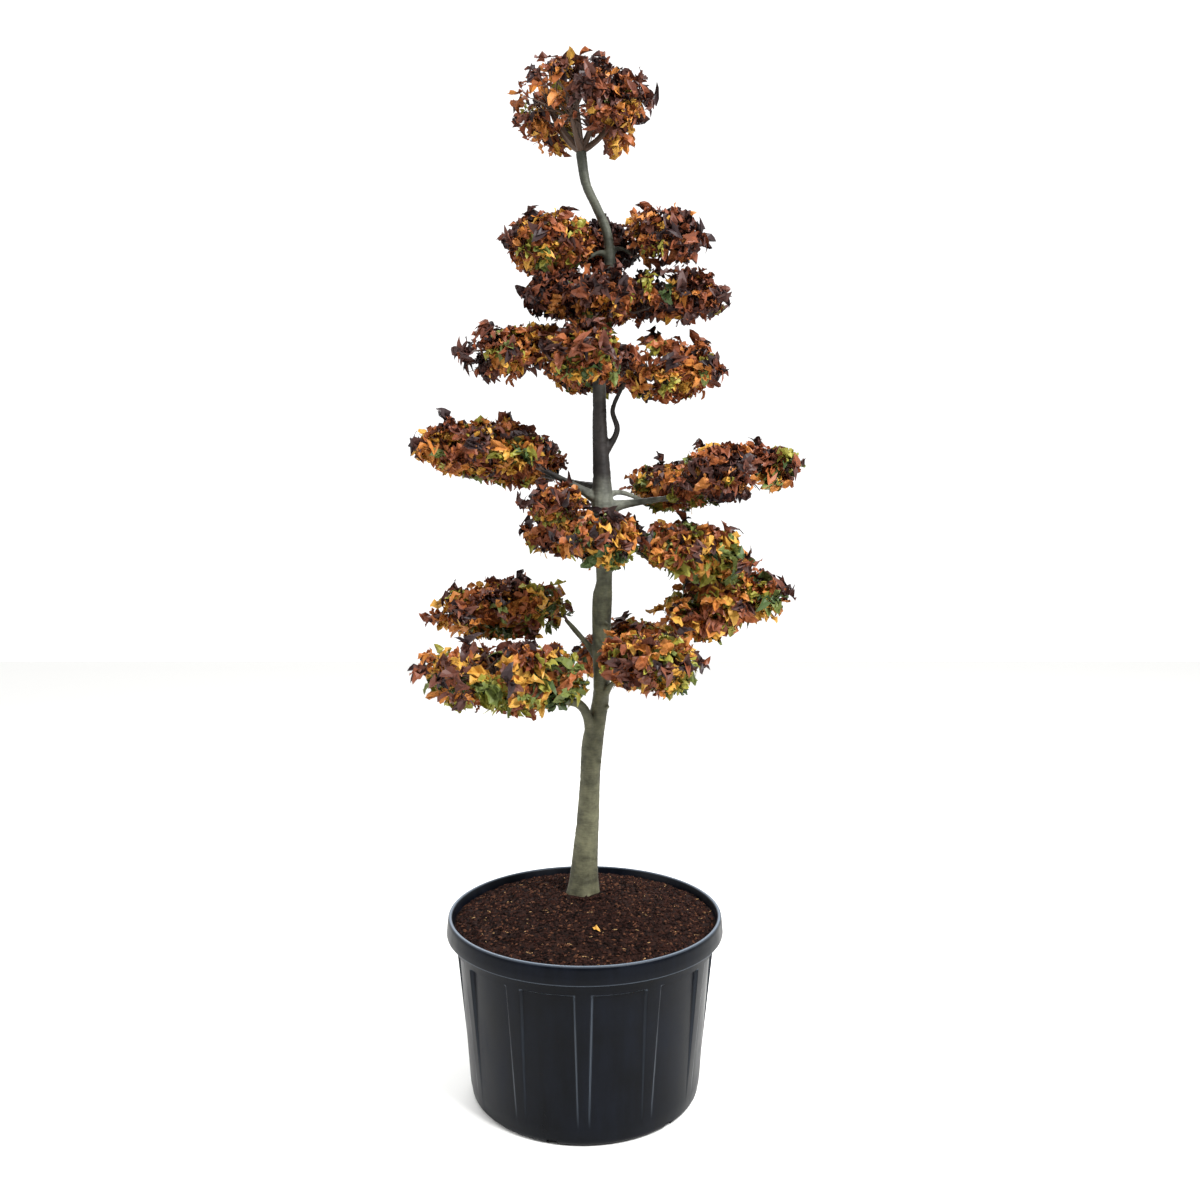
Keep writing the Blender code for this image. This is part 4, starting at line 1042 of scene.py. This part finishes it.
# %% One spray
def grow_spray(name, root, head, out, twigs, rng):
    """Grow one spray: a thin shoot with leaves on alternate sides, all of one tint."""
    space = SPACES[name]
    length = rng.uniform(*SPRAY_LENGTH)
    while depth_in(space, root + head * length) > 0.97 and length > 0.012:
        length *= 0.75
    end = root + head * length
    if not clear_of_trunk(end, 0.008):
        return []
    twigs.append((np.array([root, end]), np.array([0.0010, 0.0006]), 3))
    tint = pick_tint(name, root, rng)
    plane = (out * 0.6 + Vector((0, 0, 0.8)) + jitter(rng, 0.45)).normalized()
    across = plane.cross(head)
    across = across.normalized() if across.length > 0.1 else head.orthogonal().normalized()
    rows = []
    for k in range(LEAVES_PER_SPRAY):
        last = k == LEAVES_PER_SPRAY - 1
        base = root.lerp(end, (k + 1) / LEAVES_PER_SPRAY)
        sign = 0 if last else (1 if k % 2 else -1)
        lead = (head * (1.0 if last else 0.62) + across * sign * 0.8 + jitter(rng, 0.28)).normalized()
        lead = (lead - Vector((0, 0, rng.uniform(-0.1, 0.7)))).normalized()
        size = LEAF_LENGTH[0] + (LEAF_LENGTH[1] - LEAF_LENGTH[0]) * rng.random() ** 1.6
        if base.z > UPPER_HEIGHT:
            size *= UPPER_LEAF_SHARE
        for _ in range(4):
            if in_own_space(name, base + lead * size):
                break
            lead = (lead - 0.35 * outward(space, base + lead * size)).normalized()
            size = max(LEAST_LEAF, size * 0.90)
        if not in_own_space(name, base + lead * size) or not clear_of_trunk(base + lead * size, 0.002):
            continue
        face = (plane + jitter(rng, 0.75)).normalized()
        curl = rng.choice((0.3, 0.5, 0.8, 1.1, 1.6)) * rng.choice((1, 1, 1, -0.7))
        rows.append((*base, *lead, *face, size, curl, rng.uniform(0.2, 1.0), rng.uniform(-1, 1), tint))
    return rows


# %% [markdown]
# ## Autumn tints
# A beech turns from the top of each pad down: the sunny tops are dark copper and purple brown,
# the shaded undersides still gold and green. Each spray is dealt one plain tint.

# %% Tints
TINTS = {"purple brown": "2B1A1B", "dark copper": "41241E", "copper brown": "5A3022",
         "copper": "783F24", "orange copper": "97552A", "orange gold": "B06F30", "gold": "C4933B",
         "yellow green": "8F8A35", "olive green": "636D33", "green": "44562D"}
# The tint that a tier has in its middle, counted along the list above.
TIER_TINT = {"tier1": 4.8, "tier2": 4.4, "tier3": 4.3, "tier4": 3.2, "tier5": 3.6, "tier6": 3.3, "head": 3.0}
TOP_TO_UNDER = 1.5
TINT_SPREAD = 1.8
PATCHES_PER_METRE = 9.0
PATCH_STRENGTH = 4.5


def pick_tint(name, point, rng):
    """Deal a tint by tier and by height within the pad, with chance."""
    middle, axes, sizes = SPACES[name]
    level = (point - middle).dot(axes[2]) / sizes[2]
    patch = PATCH_STRENGTH * noise.noise(point * PATCHES_PER_METRE)
    value = rng.gauss(TIER_TINT[name.split("_")[0]] - TOP_TO_UNDER * level + patch, TINT_SPREAD)
    return int(max(0, min(len(TINTS) - 1, round(value))))


# A dry beech leaf is thin and papery, with a weak waxy sheen: index 1.42, fairly rough.
leaf_materials = [plain_material("beech leaf, " + tint, hex_colour, Roughness=0.55, IOR=1.42)
                  for tint, hex_colour in TINTS.items()]
print("tints", len(leaf_materials))

# %% [markdown]
# ## A leaf's own shape
# A beech leaf is an oval with a short point and a wavy edge, folded a little along its
# midrib. Fourteen points in ten small faces show this; curl bends the blade down its length.

# %% Leaf mesh
# The blade's stations from stalk to point and its half widths there, as shares of the whole.
LEAF_CORNERS = 14
EDGE_WAVE = 0.13
STATIONS = np.array([0.0, 0.16, 0.40, 0.66, 0.87, 1.0])
HALF_WIDTHS = np.array([0.0, 0.66, 0.98, 0.90, 0.50, 0.0])
LEAF_FACES = [(0, 1, 2), (0, 2, 3)]
for row in (1, 4, 7):
    LEAF_FACES += [(row, row + 3, row + 4, row + 1), (row + 1, row + 4, row + 5, row + 2)]
LEAF_FACES += [(10, 13, 11), (11, 13, 12)]


def leaf_points(rows):
    """Return all corner points of the leaves that rows of numbers describe."""
    data = np.array([row[:13] for row in rows])
    base, lead, face = data[:, 0:3], data[:, 3:6], data[:, 6:9]
    size, curl, fold, wave = data[:, 9:10], data[:, 10:11], data[:, 11:12], data[:, 12:13]
    lead = lead / np.linalg.norm(lead, axis=1, keepdims=True)
    side = np.cross(face, lead)
    side /= np.maximum(np.linalg.norm(side, axis=1, keepdims=True), 1e-6)
    face = np.cross(lead, side)
    points = np.zeros((len(data), LEAF_CORNERS, 3))
    slot = 0
    for index, (share, half) in enumerate(zip(STATIONS, HALF_WIDTHS)):
        run = size * (share - curl ** 2 * share ** 3 / 6)
        drop = -size * curl * share ** 2 / 2
        for across in ((0,) if index in (0, 5) else (1, 0, -1)):
            width = across * half * size * LEAF_BREADTH / 2
            ripple = abs(across) * size * EDGE_WAVE * np.sin(index * 2.5 + wave * 3 + across * 1.6)
            rise = drop + np.abs(width) * fold + ripple
            points[:, slot] = base + lead * run + side * width * np.sqrt(1 - 0.5 * fold ** 2) + face * rise
            slot += 1
    return points.reshape(-1, 3)


def leaf_piece(name, rows):
    """Join a pad's leaves into one mesh whose faces carry their spray's tint."""
    points = leaf_points(rows)
    faces = [tuple(LEAF_CORNERS * i + corner for corner in face)
             for i in range(len(rows)) for face in LEAF_FACES]
    thing = new_mesh("leaves_" + name, points.tolist(), faces, leaf_materials[0])
    for leaf_material in leaf_materials[1:]:
        thing.data.materials.append(leaf_material)
    thing.data.polygons.foreach_set("material_index", np.repeat([row[13] for row in rows], len(LEAF_FACES)))
    return thing


print("faces of a leaf", len(LEAF_FACES))


# %% Twig mesh
def add_tube(points, faces, route, girths, sides):
    """Add one thin tube with closed ends to lists of points and faces."""
    first = len(points)
    way = Vector(route[-1] - route[0]).normalized()
    u = way.orthogonal().normalized()
    v = way.cross(u)
    for place, girth in zip(route, girths):
        for k in range(sides):
            turn = 2 * math.pi * k / sides
            points.append(tuple(Vector(place) + (math.cos(turn) * u + math.sin(turn) * v) * float(girth)))
    for ring in range(len(route) - 1):
        for k in range(sides):
            a = first + ring * sides + k
            b = first + ring * sides + (k + 1) % sides
            faces.append((a, b, b + sides, a + sides))
    faces.append(tuple(first + k for k in reversed(range(sides))))
    faces.append(tuple(len(points) - sides + k for k in range(sides)))


# %% Grow every pad
twig_points, twig_faces = [], []
leaf_total = 0
for number, name in enumerate(SPACES):
    pad_twigs, pad_leaves = grow_pad(name, number, random.Random(SEED + number))
    for route, girths, sides in pad_twigs:
        add_tube(twig_points, twig_faces, route, girths, sides)
    hand_over(leaf_piece(name, pad_leaves), "foliage", "foliage_" + name)
    leaf_total += len(pad_leaves)
print("leaves", leaf_total)

# %% A fallen leaf on the soil
FALLEN_PLACE = (0.018, -0.174)
FALLEN_LIFT = 0.004
# Its lead and face as directions, then size, curl, fold, wave and tint.
FALLEN_SHAPE = (0.8, -0.5, 0.1, 0.2, -0.4, 1.0, 0.022, 0.8, 0.6, 0.3, 6)

fallen_row = (*FALLEN_PLACE, soil_height(*FALLEN_PLACE) + FALLEN_LIFT, *FALLEN_SHAPE)
hand_over(leaf_piece("fallen", [fallen_row]), "foliage", "soil")

# %% Join the twigs
twig_bark = plain_material("beech twig bark", "4A3628", Roughness=0.6)
twigs = new_mesh("twigs", twig_points, twig_faces, twig_bark)
hand_over(twigs, "foliage", *["foliage_" + name for name in SPACES])
